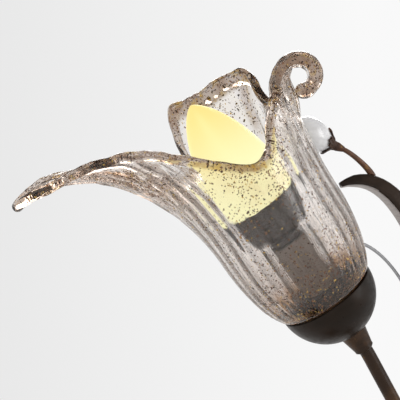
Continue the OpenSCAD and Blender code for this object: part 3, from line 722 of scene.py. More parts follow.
# Pale grey metal for the leaf's downward faces: a painted reflection of the bright floor and backdrop.
LEAF_UNDER_REFLECTION = BrightMetal("leaf_underside_painted_reflection", (0.52, 0.48, 0.46), 0.42)
# Near-black: the shade ring's own colour, and painted shade on the lampholder's low part down in the
# cup.
HOLDER_DARK_AND_SHADE = AntiqueBronze("holder_dark_and_painted_shade", (0.012, 0.008, 0.006), (0.022, 0.014, 0.010), rub=-0.4,
                            gloss=0.2)
RAW_BRASS = BrightMetal("raw_brass", (0.78, 0.55, 0.24))
ZINC = BrightMetal("zinc", (0.60, 0.61, 0.62))
WIRE_STEEL = BrightMetal("wire_steel", (0.42, 0.42, 0.43), 0.3)
HOLDER_GREY = Moulded("holder_grey", (0.26, 0.215, 0.18), 0.4)


# --- foot, column


@dataclass
class Foot:
    """The round foot: a spun cover over a cast weight on felt."""

    radius: float = 68.0
    height: float = 34.0
    rim: float = 15.0
    sheet: float = 1.5
    skirt: float = 0.8
    top_radius: float = 15.0

    def ogee(self, r: float) -> float:
        """Height of the cover's outer face at a radius.

        Args:
            r: the radius, in millimetres.

        Returns:
            The value, in millimetres.
        """
        outer = self.radius - 2
        f = min(1.0, max(0.0, (r - self.top_radius) / (outer - self.top_radius)))
        return self.rim + (self.height - self.rim) * (1 + math.cos(math.pi * f)) / 2

    def cover(self) -> Piece:
        """The spun cover, with its rolled rim and two turned lines.

        Returns:
            The finished piece.
        """
        inner, steps = self.radius - 2, 60
        sweep = [inner - (inner - self.top_radius) * k / steps for k in range(steps + 1)]
        groove = {8: 0.35, 9: 0.5, 10: 0.35, 51: 0.3, 52: 0.45, 53: 0.3}
        outer = [(self.radius, self.skirt)] + arc(inner, self.rim - 2, 2, 0, 90, 8)
        outer += [(r, self.ogee(r) - groove.get(k, 0.0)) for k, r in enumerate(sweep)][1:]
        outer += [(5.2, self.height), (5.2, self.height - self.sheet)]
        under = [(r - self.sheet / 2, self.ogee(r) - self.sheet) for r in reversed(sweep)]
        under += arc(inner - self.sheet, self.rim - 2 - self.sheet, 2, 90, 0, 6)
        under += [(self.radius - self.sheet, self.skirt), (self.radius, self.skirt)]
        return turned("foot_cover", outer + under, steps=160)

    def build(self) -> None:
        """Models and dresses the foot."""
        fit(self.cover(), "base_cover", DARK_BRONZE)
        felt = turned("felt", [(0, 0), (63.6, 0), (64.0, 0.4), (64.0, 1.6), (63.6, 2.0), (0, 2.0)],
                      steps=120)
        fit(felt, "felt_pad", Moulded("felt", (0.035, 0.03, 0.03), 0.95, 900.0, 0.25, 0.4, 0.6))
        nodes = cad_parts
        dress(nodes["base_weight"], Moulded("cast_iron", (0.05, 0.052, 0.055), 0.6, 500.0, 0.15, 0.3))
        dress(nodes["cable_bush"], Moulded("bush_rubber", (0.018, 0.017, 0.017), 0.6))
        dress(nodes["terminal_block"], Moulded("block_plastic", (0.72, 0.69, 0.58), 0.4))
        for name in ("base_nipple", "base_nut"):
            dress(nodes[name], RAW_BRASS)
        dress(nodes["base_washer"], ZINC)


@dataclass
class Column:
    """The collar, the column with its beads, the band and the hub."""

    radius: float = 7.0
    foot_z: float = 46.0
    top_z: float = 204.0
    hub_z: float = 222.0
    hub_radius: float = 18.0

    def collar(self) -> Piece:
        """The turned collar between the cover and the column.

        Returns:
            The finished piece.
        """
        r1 = self.radius + 1.5
        cove = 15.0 - 1.5 - r1
        profile = [(5.05, 34.0), (15.0, 34.0)]
        profile += arc(13.5, 36.0, 1.5, -30, 90, 10)
        profile += arc(13.5, 37.5 + cove, cove, 270, 180, 16)
        profile += [(r1, self.foot_z), (5.05, self.foot_z), (5.05, 34.0)]
        return turned("collar", profile)

    def tube(self) -> Piece:
        """The column tube with three beads.

        Returns:
            The finished piece.
        """
        profile: Profile = [(5.05, self.foot_z), (self.radius, self.foot_z)]
        for bead in (self.foot_z + 4, self.foot_z + 9, self.top_z - 14):
            profile += arc(self.radius, bead, 1.2, -90, 90, 12)
        profile += [(self.radius, self.top_z), (5.05, self.top_z), (5.05, self.foot_z)]
        return turned("column_tube", profile)

    def band(self) -> Piece:
        """The rounded band under the hub.

        Returns:
            The finished piece.
        """
        z0, half = self.top_z - 8, 3.0
        profile = [(self.radius + 0.03, z0), (self.radius + 0.8, z0)]
        profile += arc(self.radius + 0.8, z0 + half, half, -90, 90, 20)[1:]
        profile += [(self.radius + 0.03, z0 + 2 * half), (self.radius + 0.03, z0)]
        return turned("band", profile)

    def hub(self) -> Piece:
        """The turned ball that carries tube, leaf and tendril.

        Returns:
            The finished piece.
        """
        r, neck = self.hub_radius, self.radius + 1
        low = math.degrees(math.asin((self.top_z + 4 - self.hub_z) / r))
        high = math.degrees(math.acos(math.sqrt(r * r - (r - 1) ** 2) / r))
        profile = [(0, self.top_z - 10), (5.0, self.top_z - 10), (5.0, self.top_z), (neck, self.top_z)]
        profile += [(neck + 0.8, self.top_z + 1.6), (neck + 2.5, self.top_z + 4)]
        for k in range(45):
            a = low + (high - low) * k / 44
            dip = 0.45 * max(0.0, 1 - abs(a - 2) / 2.5) + 0.35 * max(0.0, 1 - abs(a - 14) / 2.2)
            profile.append(((r - dip) * math.cos(math.radians(a)),
                            self.hub_z + (r - dip) * math.sin(math.radians(a))))
        profile.append((0, self.hub_z + r - 1))
        return turned("hub_ball", profile, steps=128)

    def finial(self) -> Piece:
        """The small turned finial on the hub.

        Returns:
            The finished piece.
        """
        z0, r = self.hub_z + self.hub_radius - 1, 4.5
        profile = [(0, z0 - 5), (2, z0 - 5), (2, z0), (r, z0), (r, z0 + 1.5)]
        profile += arc(r - 1.2, z0 + 2.7, 1.2, -90, 0, 8) + arc(0, z0 + 9 - r, r - 1.2, 0, 90, 16)
        return turned("finial", profile, steps=64)

    def build(self) -> None:
        """Models and dresses the column and the hub."""
        fit(self.collar(), "column_collar", RUBBED_BRONZE)
        fit(self.tube(), "column", COLUMN_BRONZE)
        fit(self.band(), "column_band", RUBBED_BRONZE)
        fit(self.hub(), "hub", DARK_BRONZE)
        fit(self.finial(), "hub_finial", RUBBED_BRONZE)
        dress(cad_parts["grub_screw"], ZINC)


# --- arm, cup, lampholder


@dataclass
class Arm:
    """The leaning tube and the ferrule at its end, measured down the cup's axis."""

    ferrule_top: float = -20.3
    ferrule_len: float = 11.0

    def ferrule(self) -> Piece:
        """The conical ferrule, with a rolled edge at each end.

        Returns:
            The finished piece.
        """
        z0, z1 = self.ferrule_top - self.ferrule_len, self.ferrule_top
        profile = [(3.23, z0), (4.1, z0), (4.5, z0 + 0.4), (4.5, z0 + 1.2), (6.3, z1 - 1.4),
                   (6.5, z1 - 1.0), (6.5, z1 - 0.4), (6.2, z1), (4.03, z1), (4.03, z1 - 4.85),
                   (3.23, z1 - 4.85), (3.23, z0)]
        return turned("ferrule_cone", profile, HEAD, steps=64)

    def build(self) -> None:
        """Models and dresses the arm."""
        tube = refined("tube", "arm_tube", 1)
        fit(tube, "arm_tube", RUBBED_BRONZE)
        fit(self.ferrule(), "ferrule", RUBBED_BRONZE)


@dataclass
class CupAndHolder:
    """The dark cup, the lampholder in it and the ring that clamps the shade."""

    rim_radius: float = 22.2
    wall: float = 1.2
    depth: float = 20.3
    skirt_radius: float = 13.0
    sleeve_radius: float = 10.5
    top: float = 31.0
    # Height up the cup's axis below which the lampholder takes painted shade.
    painted_shade_top: float = 9.0

    def cup(self) -> Piece:
        """The spun half-ball cup.

        Returns:
            The finished piece.
        """
        inner = self.rim_radius - self.wall
        a_out = math.degrees(math.asin(self.depth / self.rim_radius))
        a_in = math.degrees(math.asin((self.depth - self.wall) / inner))
        profile = [(self.rim_radius, -0.3)] + arc(0, 0, self.rim_radius, -1.5, -a_out, 40)
        profile += [(4.03, -self.depth), (4.03, -self.depth + self.wall)]
        profile += arc(0, 0, inner, -a_in, -1.5, 40)
        profile += [(inner, -0.3), (inner + 0.3, 0), (self.rim_radius - 0.3, 0), (self.rim_radius, -0.3)]
        return turned("cup_bowl", profile, HEAD, steps=128)

    def holder(self) -> Piece:
        """The lampholder, with the rolled thread of its skirt.

        Returns:
            The finished piece.
        """
        profile: Profile = [(0, -15.6), (11.0, -15.6), (11.0, -7.9), (17.0, -7.9), (17.2, -7.7),
                            (17.2, -5.5), (17.0, -5.3), (13.0, -5.3)]
        crests = 5
        for k in range(crests * 8 + 1):
            z = -4.9 + 9.6 * k / (crests * 8)
            profile.append((self.skirt_radius - 0.25 + 0.25 * math.cos(2 * math.pi * k / 8), z))
        profile += [(self.skirt_radius - 0.3, 5.0), (self.sleeve_radius + 0.3, 5.0),
                    (self.sleeve_radius, 5.4), (self.sleeve_radius, self.top - 0.5),
                    (self.sleeve_radius - 0.4, self.top), (7.4, self.top), (7.01, self.top - 0.4),
                    (7.01, -4.0), (0, -4.0)]
        return turned("holder", profile, HEAD, steps=96)

    def build(self) -> None:
        """Models and dresses the cup and what it holds."""
        fit(self.cup(), "cup", CUP_BRONZE)
        holder = self.holder()
        fit(holder, "lampholder", HOLDER_GREY)
        seat, up = Vector(HEAD.origin) * MM, HEAD.matrix().to_3x3().col[2]
        # The holder's low part, down in the cup and the glass's neck, takes the near-black finish as
        # painted shade.
        panel(holder, HOLDER_DARK_AND_SHADE, lambda face: (face.center - seat).dot(up) < self.painted_shade_top * MM)
        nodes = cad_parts
        dress(nodes["shade_ring"], HOLDER_DARK_AND_SHADE)
        dress(nodes["shade_gasket"], Moulded("gasket_rubber", (0.16, 0.10, 0.06), 0.7))
        dress(nodes["cup_lock_nut"], ZINC)
        for name in ("cup_stud", "centre_contact", "side_contact"):
            dress(nodes[name], RAW_BRASS)
        dress(nodes["lead_live"], Moulded("lead_brown", (0.10, 0.04, 0.02), 0.35))
        dress(nodes["lead_neutral"], Moulded("lead_blue", (0.01, 0.06, 0.30), 0.35))


# --- bulb


@dataclass
class Bulb:
    """The candle bulb: rolled cap, dark bowl and frosted globe."""

    radius: float = 17.5
    tip: float = 103.4
    neck_z: float = 31.3
    bowl_top: float = 52.7
    wide_z: float = 54.7

    def cap(self) -> Piece:
        """The rolled screw cap.

        Returns:
            The finished piece.
        """
        profile: Profile = [(0, 9.0), (5.35, 9.0), (6.6, 10.2)]
        pitch, turns = 2.822, 6
        for k in range(turns * 10 + 1):
            z = 10.6 + pitch * k / 10
            if z < self.neck_z - 1.2:
                profile.append((6.6 + 0.33 * math.cos(2 * math.pi * k / 10), z))
        profile += [(6.9, self.neck_z - 0.8), (6.9, self.neck_z), (0, self.neck_z)]
        return turned("screw_cap", profile, HEAD, steps=64, how=Smoothing.ROUND)

    def bowl(self) -> Piece:
        """The dark cooling bowl with shallow flutes.

        Returns:
            The finished piece.
        """
        neck, z0 = 9.2, self.neck_z + 3.0
        profile: Profile = [(0, self.neck_z), (neck - 0.4, self.neck_z), (neck, self.neck_z + 0.4)]
        for k in range(25):
            f = k / 24
            profile.append((neck + (self.radius - neck) * math.sin(math.pi / 2 * f),
                            z0 + 16.4 * (1 - math.cos(math.pi / 2 * f)) + 0.4 * f))
        profile += [(self.radius, self.bowl_top - 0.3), (self.radius - 0.3, self.bowl_top),
                    (16.0, self.bowl_top), (16.0, self.bowl_top - 3.4), (0, self.bowl_top - 3.4)]
        piece = turned("cooling_bowl", profile, steps=144, how=Smoothing.ROUND)
        flutes = 24
        for v in piece.data.vertices:
            r = math.hypot(v.co.x, v.co.y) / MM
            z = v.co.z / MM
            if r > neck - 1 and z0 < z < self.bowl_top - 3.6:
                a = math.atan2(v.co.y, v.co.x)
                dip = 0.35 * (0.5 - 0.5 * math.cos(flutes * a)) * math.sin(
                    math.pi * min(1.0, (z - z0) / (self.bowl_top - 3.6 - z0)))
                v.co.x *= 1 - dip / r
                v.co.y *= 1 - dip / r
        settle(piece, HEAD)
        return piece

    def globe(self) -> Piece:
        """The frosted candle globe.

        Returns:
            The finished piece.
        """
        drop, steps = self.tip - self.wide_z, 56
        outer = []
        for k in range(steps + 1):
            d = drop * (k / steps) ** 1.7
            outer.append((self.radius * math.sin(math.pi / 2 * (d / drop) ** 0.68), self.tip - d))
        inner = [(max(0.0, r - 1.0), z - 1.6 * (1 - k / steps)) for k, (r, z) in enumerate(outer)]
        lower = [(self.radius - 0.2, self.bowl_top), (self.radius - 1.0, self.bowl_top)]
        profile = outer + lower + list(reversed(inner))
        return turned("globe", profile, HEAD, steps=128, how=Smoothing.FLUID)

    def build(self) -> None:
        """Models and dresses the bulb."""
        fit(self.cap(), "bulb_cap", BrightMetal("cap_metal", (0.72, 0.71, 0.69), 0.25), Body.BULB)
        fit(self.bowl(), "bulb_bowl", Moulded("bowl_grey", (0.050, 0.036, 0.026), 0.24), Body.BULB)
        fit(self.globe(), "bulb_globe", LitGlobe("lit_globe"), Body.BULB)
        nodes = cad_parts
        dress(nodes["bulb_insulator"], Moulded("insulator_black", (0.012, 0.01, 0.01), 0.15))
        dress(nodes["bulb_contact"], BrightMetal("solder", (0.55, 0.55, 0.54), 0.35))
        dress(nodes["led_board"], Moulded("board_white", (0.8, 0.8, 0.78), 0.5))


# --- shade

LIP = (
    (-77, 0.00, 0.00, 5, 0.33), (-60, 0.00, 0.07, 8, 0.33), (-44, 0.00, 0.22, 10, 0.34),
    (-28, 0.05, 0.38, 12, 0.36), (-14, 0.08, 0.42, 10, 0.36), (0, 0.08, 0.40, 6, 0.36),
    (14, 0.07, 0.35, 8, 0.34), (24, 0.03, 0.22, 8, 0.33), (32, 0.04, 0.36, 14, 0.31),
    (43, 0.13, 0.52, 22, 0.30), (60, 0.06, 0.62, 12, 0.30), (78, 0.03, 0.62, 5, 0.30),
    (95, 0.06, 0.61, 12, 0.30), (111, 0.12, 0.605, 20, 0.30), (121, 0.08, 0.36, 16, 0.30),
    (129, 0.04, 0.10, 11, 0.33), (139, 0.09, 0.15, 20, 0.35), (148, 0.17, 0.315, 35, 0.36),
    (159, 0.30, 0.46, 55, 0.38), (169, 0.50, 0.64, 72, 0.40), (176, 0.80, 0.83, 88, 0.44),
    (180, 1.00, 0.80, 103, 0.46), (184, 0.87, 0.80, 98, 0.46), (187, 0.72, 0.79, 90, 0.44),
    (191, 0.53, 0.78, 78, 0.42), (202, 0.30, 0.72, 53, 0.40), (212, 0.19, 0.66, 38, 0.38),
    (223, 0.11, 0.55, 27, 0.36), (234, 0.05, 0.43, 17, 0.34), (245, 0.02, 0.32, 10, 0.33),
    (256, 0.00, 0.21, 6, 0.33), (270, 0.00, 0.08, 5, 0.33),
)


@dataclass
class TulipShade:
    """The blown shade: ribbed body, long petal, square petal and rolled petal.

    The lip table gives, round the mouth, its azimuth, how far out and how high it
    stands, the wall's tilt there and how stiffly it starts upward. The fields that
    end in at are azimuths of its parts, the flap's with its half width. Lumps and ripple
    have waves a millimetre and height, and gather is how much glass thickens the roll.
    """

    body_r: float = 30.0
    ring_r: float = 21.7
    neck: float = 36.0
    reach: float = 88.0
    valley: float = 70.0
    rise: float = 46.0
    wall: float = 3.0
    lip_t: float = 4.2
    ribs: int = 24
    rib_depth: float = 0.55
    roll: Triple = (8.4, 5.4, 285.0)
    roll_span: tuple[float, float] = (9.0, 20.0)
    warp: float = 14.0
    foot_z: float = 0.5
    turn: float = -13.0
    tilt: float = 1.7
    gather: float = 3.8
    lumps: tuple[float, float] = (0.11, 1.1)
    ripple: tuple[float, float] = (0.30, 0.30)
    flap_at: tuple[float, float] = (84.0, 42.0)
    crease_at: float = 53.0
    tongue_at: float = 184.0
    front_at: float = 285.0
    paints: tuple[str, ...] = ("rim", "stain_and_reflection", "fleck", "foot")
    columns: int = 336
    low_rows: int = 22
    high_rows: int = 84

    def lip_values(self, azimuth: np.ndarray) -> list[np.ndarray]:
        """Smooth values of the lip table at any azimuth.

        Args:
            azimuth: the azimuths, in degrees.

        Returns:
            Out, rise, tilt and stiffness, each as long as azimuth.
        """
        keys = np.array(LIP)
        x = np.concatenate([keys[:, 0] - 360, keys[:, 0], keys[:, 0] + 360])
        at = (azimuth - LIP[0][0]) % 360 + LIP[0][0]
        i = np.searchsorted(x, at, side="right") - 1
        step = np.diff(x)
        t = (at - x[i]) / step[i]
        values = []
        for c in range(1, 5):
            y = np.tile(keys[:, c], 3)
            slope = np.diff(y) / step
            lean = np.zeros_like(y)
            lean[1:-1] = (slope[:-1] * step[1:] + slope[1:] * step[:-1]) / (step[:-1] + step[1:])
            values.append((2 * t**3 - 3 * t**2 + 1) * y[i] + (t**3 - 2 * t**2 + t) * step[i] * lean[i]
                          + (3 * t**2 - 2 * t**3) * y[i + 1] + (t**3 - t**2) * step[i] * lean[i + 1])
        return values

    def shoulder(self, azimuth: np.ndarray, rib: np.ndarray) -> tuple[np.ndarray, np.ndarray]:
        """The shoulder, from the cup to the full body.

        Args:
            azimuth: each column's azimuth, in degrees.
            rib: how far its rib stands out.

        Returns:
            Points and outward normals, by column and row.
        """
        z = self.neck * (np.arange(self.low_rows) / self.low_rows)[None, :] ** 1.5
        a = np.pi / 2 * z / self.neck
        swell = self.body_r - self.ring_r
        r = self.ring_r + swell * np.sin(a) ** 0.62 + rib[:, None] * ease(z / 12)
        with np.errstate(divide="ignore"):
            slope = 0.62 * swell * np.sin(a) ** -0.38 * np.cos(a) * (np.pi / 2) / self.neck
        slope[:, 0] = 1.2
        slope = np.minimum(slope, 1.2)
        az = np.radians(azimuth)[:, None]
        points = np.stack([r * np.cos(az), r * np.sin(az), self.foot_z + z + 0 * r], -1)
        normals = np.stack([np.cos(az) + 0 * r, np.sin(az) + 0 * r, -slope + 0 * r], -1)
        return points, normals

    def petals(self, azimuth: np.ndarray, lip_az: np.ndarray, rib: np.ndarray
               ) -> tuple[np.ndarray, ...]:
        """The petals, from the full body to the lip and round the roll.

        Args:
            azimuth: each column's azimuth at the neck, in degrees.
            lip_az: its azimuth at the lip.
            rib: how far its rib stands out.

        Returns:
            Points, outward normals, how far round the roll each lies, and the columns' lengths.
        """
        out, rise, tilt, stiff = (v[:, None] for v in self.lip_values(lip_az))
        r0, r1, turn_all = self.roll
        tilt = np.radians(tilt)
        top = (self.body_r + out * (self.reach - self.body_r), self.valley + rise * self.rise)
        length = np.hypot(top[0] - self.body_r, top[1] - self.neck)
        off = np.abs((lip_az + 180) % 360 - 180)[:, None]
        turn = np.radians(turn_all) * (1 - ease((off - self.roll_span[0])
                                                / (self.roll_span[1] - self.roll_span[0])))
        share = length / (length + turn * (r0 + r1) / 2)
        s = (np.arange(self.high_rows) / (self.high_rows - 1))[None, :]
        t = np.clip(s / share, 0, 1)
        px = [self.body_r, self.body_r, top[0] - 0.34 * length * np.sin(tilt), top[0]]
        pz = [self.neck, self.neck + stiff * length, top[1] - 0.34 * length * np.cos(tilt), top[1]]
        w = [(1 - t) ** 3, 3 * t * (1 - t) ** 2, 3 * t * t * (1 - t), t**3]
        q, z = sum(a * b for a, b in zip(w, px)), sum(a * b for a, b in zip(w, pz))
        v = [(1 - t) ** 2, 2 * t * (1 - t), t * t]
        dq = sum(v[k] * (px[k + 1] - px[k]) for k in range(3))
        dz = sum(v[k] * (pz[k + 1] - pz[k]) for k in range(3))
        size = np.hypot(dq, dz)
        dq, dz = dq / size, dz / size
        az = np.radians(azimuth[:, None] + (lip_az - azimuth)[:, None] * ease(t))
        r = q + rib[:, None] * (1 - ease((s - 0.45) / 0.5))
        x, y = r * np.cos(az), r * np.sin(az)
        nx, ny, nz = dz * np.cos(az), dz * np.sin(az), -dq
        a = np.clip((s - share) / (1 - share + 1e-9), 0, 1) * turn
        rho = r0 + (r1 - r0) * a / np.radians(turn_all)
        cx, cz, ax, az_ = np.cos(tilt), -np.sin(tilt), np.sin(tilt), np.cos(tilt)
        sx, sz = np.cos(a) * cx - np.sin(a) * ax, np.cos(a) * cz - np.sin(a) * az_
        x, z = x + r0 * cx - rho * sx, z + r0 * cz - rho * sz
        y = y * (1 - 0.35 * a / np.radians(turn_all))
        rolled = (a > 0) & (turn > 0)
        nx, nz = np.where(rolled, sx, nx), np.where(rolled, sz, nz)
        ny = np.where(rolled, 0.3 * ny, ny)
        return (np.stack([x, y, z + self.foot_z], -1), np.stack([nx, ny, nz], -1),
                np.broadcast_to(np.where(turn > 0, a, 0.0), x.shape), length / share)

    @staticmethod
    def facing(p: np.ndarray, n: np.ndarray, free: np.ndarray) -> np.ndarray:
        """Unit normals: those drawn, blended with the points' own where free is 1.

        Args:
            p: the points, by column and row.
            n: the normals as drawn.
            free: 0 on the roll, which keeps its own, and 1 elsewhere.

        Returns:
            The normals.
        """
        n = n / np.linalg.norm(n, axis=2, keepdims=True)
        true = np.cross(np.roll(p, -1, 0) - np.roll(p, 1, 0), np.gradient(p, axis=1))
        true /= np.linalg.norm(true, axis=2, keepdims=True) + 1e-12
        n = n + 0.5 * free[..., None] * true
        return n / np.linalg.norm(n, axis=2, keepdims=True)

    def painted(self, face: np.ndarray, gap: np.ndarray, s: np.ndarray, z: np.ndarray,
                zones: tuple[np.ndarray, ...]) -> np.ndarray:
        """Works out the values named in paints.

        Args:
            face: each column's azimuth at the lip.
            gap: each point's distance from the lip, in millimetres.
            s: its share of the way up, from the neck to the lip.
            z: its height.
            zones: how far it lies in the flap, in the roll's neck and in the crease.

        Returns:
            The values, by column, row and name.
        """
        flap, neck, crease = zones
        rim = 1 - ease((gap - 1.2 - 3.0 * flap) / (1.4 + 1.6 * flap))
        rim = rim * (1 - 0.75 * near(face, 180, 9))
        # Along the back petal's fold the rim's brown is laid again as painted shade of the crease.
        rim = np.maximum(rim, 0.75 * crease * ease((s - 0.5) / 0.2))
        tongue = near(face, self.tongue_at, 28) * ease((s - 0.12) / 0.5)
        front = near(face, self.front_at, 38, 4) * ease((s - 0.35) / 0.4)
        core = neck * ease((s - 0.4) / 0.2) * (1 - 0.8 * ease((s - 0.62) / 0.15))
        # Low on the body, by the cup, the glass is browned and flecked more; the browning is a painted
        # reflection of the dark cup.
        low_down = 1 - ease((z - 14.0) / 26.0)
        stain_and_reflection = np.maximum.reduce([tongue, 0.45 * front, 0.25 * core, 0.45 * low_down])
        fleck = np.maximum.reduce([0.25 + 0 * rim, 0.9 * tongue, 0.85 * front, 0.7 * rim, 0.7 * core,
                                   0.65 * low_down, 0.35 * flap * ease((s - 0.4) / 0.2)])
        # The last value, for the foot, is partly the glass's own amber and partly a painted reflection
        # of the cup.
        return np.stack([rim, stain_and_reflection, fleck, 1 - ease((z - 1.0) / 9.0)], -1)

    def rings(self) -> tuple[np.ndarray, np.ndarray]:
        """Closed rings of points over the outer wall, the lip, the inner wall and the sill.

        Returns:
            The points as ring, column and xyz, and per point the values named in paints.
        """
        azimuth = LIP[0][0] + 360 * np.arange(self.columns) / self.columns
        lip_az = azimuth - self.warp * np.sin(np.radians(2 * (azimuth - 180)))
        wave = np.cos(np.radians(self.ribs * (azimuth - LIP[0][0])))
        rib = self.rib_depth * (0.5 + 0.5 * wave) ** 0.8
        low, low_n = self.shoulder(azimuth, rib)
        high, high_n, rolled, length = self.petals(azimuth, lip_az, rib)
        p = np.concatenate([low, high], 1)
        rows = self.low_rows + self.high_rows
        free = np.ones((self.columns, rows))
        free[:, self.low_rows:] = rolled <= 0
        n = self.facing(p, np.concatenate([low_n, high_n], 1), free)
        s = np.concatenate([np.zeros(self.low_rows), np.arange(self.high_rows) / (self.high_rows - 1)])
        s = s[None, :]
        (lump_scale, lump_high), (ripple_scale, ripple_high) = self.lumps, self.ripple
        lumps = np.array([[noise.noise(Vector(q) * lump_scale) for q in col] for col in p])
        squat = p * (1, 1, 0.4)
        ripple = np.array([[noise.noise(Vector(q) * ripple_scale) for q in col] for col in squat])
        face = lip_az[:, None] % 360
        gap = (1 - s) * length
        flap = near(face, *self.flap_at, 4)
        neck = (near((face + 180) % 360 - 180, 0, 17, 4) * ease((s - 0.36) / 0.22)
                * (1 - 0.45 * ease((s - 0.6) / 0.4)))
        crease = near(face, self.crease_at - 5 * ease((s - 0.8) / 0.2), 3.2) * ease((s - 0.35) / 0.2)
        swell = lumps * lump_high * ease((s - 0.25) / 0.6)
        swell = swell + ripple * ripple_high * ease((s - 0.05) / 0.4)
        p = p + n * (swell + self.gather * neck + 1.2 * crease)[..., None]
        thick = self.wall + (self.lip_t - self.wall) * (1 - ease((gap - 2.0) / 3.0))
        thick = thick + flap * (1 - ease((gap - 2.5) / 6.0)) * (0.9 + 1.6 * ripple)
        thick = thick + 0.5 * lumps * s + self.gather * neck + 1.8 * crease
        inner = p - n * thick[..., None]
        end = p[:, -1] - p[:, -2]
        end /= np.linalg.norm(end, axis=1, keepdims=True)
        middle, half = (p[:, -1] + inner[:, -1]) / 2, (p[:, -1] - inner[:, -1]) / 2
        reach = np.linalg.norm(half, axis=1, keepdims=True)
        bead = [middle + math.cos(a) * half + math.sin(a) * reach * end
                for a in np.linspace(0, math.pi, 9)[1:-1]]
        az = np.radians(azimuth)[:, None]
        sill = (self.ring_r - self.wall) * np.concatenate([np.cos(az), np.sin(az), 0 * az], 1)
        sill[:, 2] = self.foot_z
        inward = range(rows - 1, 1, -1)
        rings = [p[:, j] for j in range(rows)] + bead + [inner[:, j] for j in inward] + [sill]
        paint = self.painted(face, gap, s, p[..., 2], (flap, neck, crease))
        paints = [paint[:, j] for j in range(rows)] + [paint[:, -1]] * len(bead)
        paints += [paint[:, j] for j in inward] + [paint[:, 0]]
        return np.array(rings), np.array(paints)

    def seated(self, rings: np.ndarray) -> np.ndarray:
        """Turns the blown glass on its axis and leans its body back from the cup.

        Args:
            rings: the points, modelled upright.

        Returns:
            The points as the glass sits in the cup.
        """
        turn = math.radians(self.turn)
        x = rings[..., 0] * math.cos(turn) - rings[..., 1] * math.sin(turn)
        y = rings[..., 0] * math.sin(turn) + rings[..., 1] * math.cos(turn)
        a = math.radians(self.tilt) * ease(rings[..., 2] / self.neck)
        return np.stack([x * np.cos(a) + rings[..., 2] * np.sin(a), y,
                         rings[..., 2] * np.cos(a) - x * np.sin(a)], -1)

    def blown(self) -> Piece:
        """The blown glass as one closed mesh.

        Returns:
            The finished piece.
        """
        rings, paints = self.rings()
        rings = self.seated(rings)
        m, n = rings.shape[:2]
        mesh = bpy.data.meshes.new("tulip_glass")
        j, i = np.meshgrid(np.arange(m), np.arange(n), indexing="ij")
        j2, i2 = (j + 1) % m, (i + 1) % n
        quads = np.stack([j * n + i, j * n + i2, j2 * n + i2, j2 * n + i], -1).reshape(-1, 4)
        mesh.from_pydata((rings.reshape(-1, 3) * MM).tolist(), [], quads.tolist())
        layer = mesh.uv_layers.new(name="blow")
        u = np.stack([i, i + 1, i + 1, i], -1).reshape(-1) / n
        v = np.stack([j, j, j + 1, j + 1], -1).reshape(-1) / m
        v = 1 - np.abs(2 * v - 1)
        layer.data.foreach_set("uv", np.stack([u, v], -1).reshape(-1))
        for k, name in enumerate(self.paints):
            values = mesh.attributes.new(name, "FLOAT", "POINT")
            values.data.foreach_set("value", paints[..., k].reshape(-1))
        piece = link(bpy.data.objects.new("tulip_glass", mesh))
        pick(piece)
        bpy.ops.object.mode_set(mode="EDIT")
        bpy.ops.mesh.select_all(action="SELECT")
        bpy.ops.mesh.normals_make_consistent(inside=False)
        bpy.ops.object.mode_set(mode="OBJECT")
        smooth(piece, Smoothing.FLUID)
        settle(piece, HEAD)
        return piece

    def seat(self) -> Piece:
        """The ground foot ring of the glass inside the cup.

        Returns:
            The finished piece.
        """
        profile = [(13.6, -5.0), (19.8, -5.0), (20.0, -4.8), (20.0, 0.6), (19.9, 2.0), (18.2, 2.0),
                   (18.0, 1.8), (18.0, -2.0), (13.6, -2.0), (13.6, -5.0)]
        return turned("glass_seat", profile, HEAD, steps=96)

    def build(self) -> None:
        """Models and dresses the shade."""
        glass = AmberGlass("amber_glass")
        fit(self.blown(), "glass_shade", glass, Body.SHADE)
        seat = self.seat()
        dress(seat, Moulded("ground_glass", (0.20, 0.13, 0.07), 0.5))
        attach(seat, Body.SHADE.value)


# --- leaf, bud, tendril


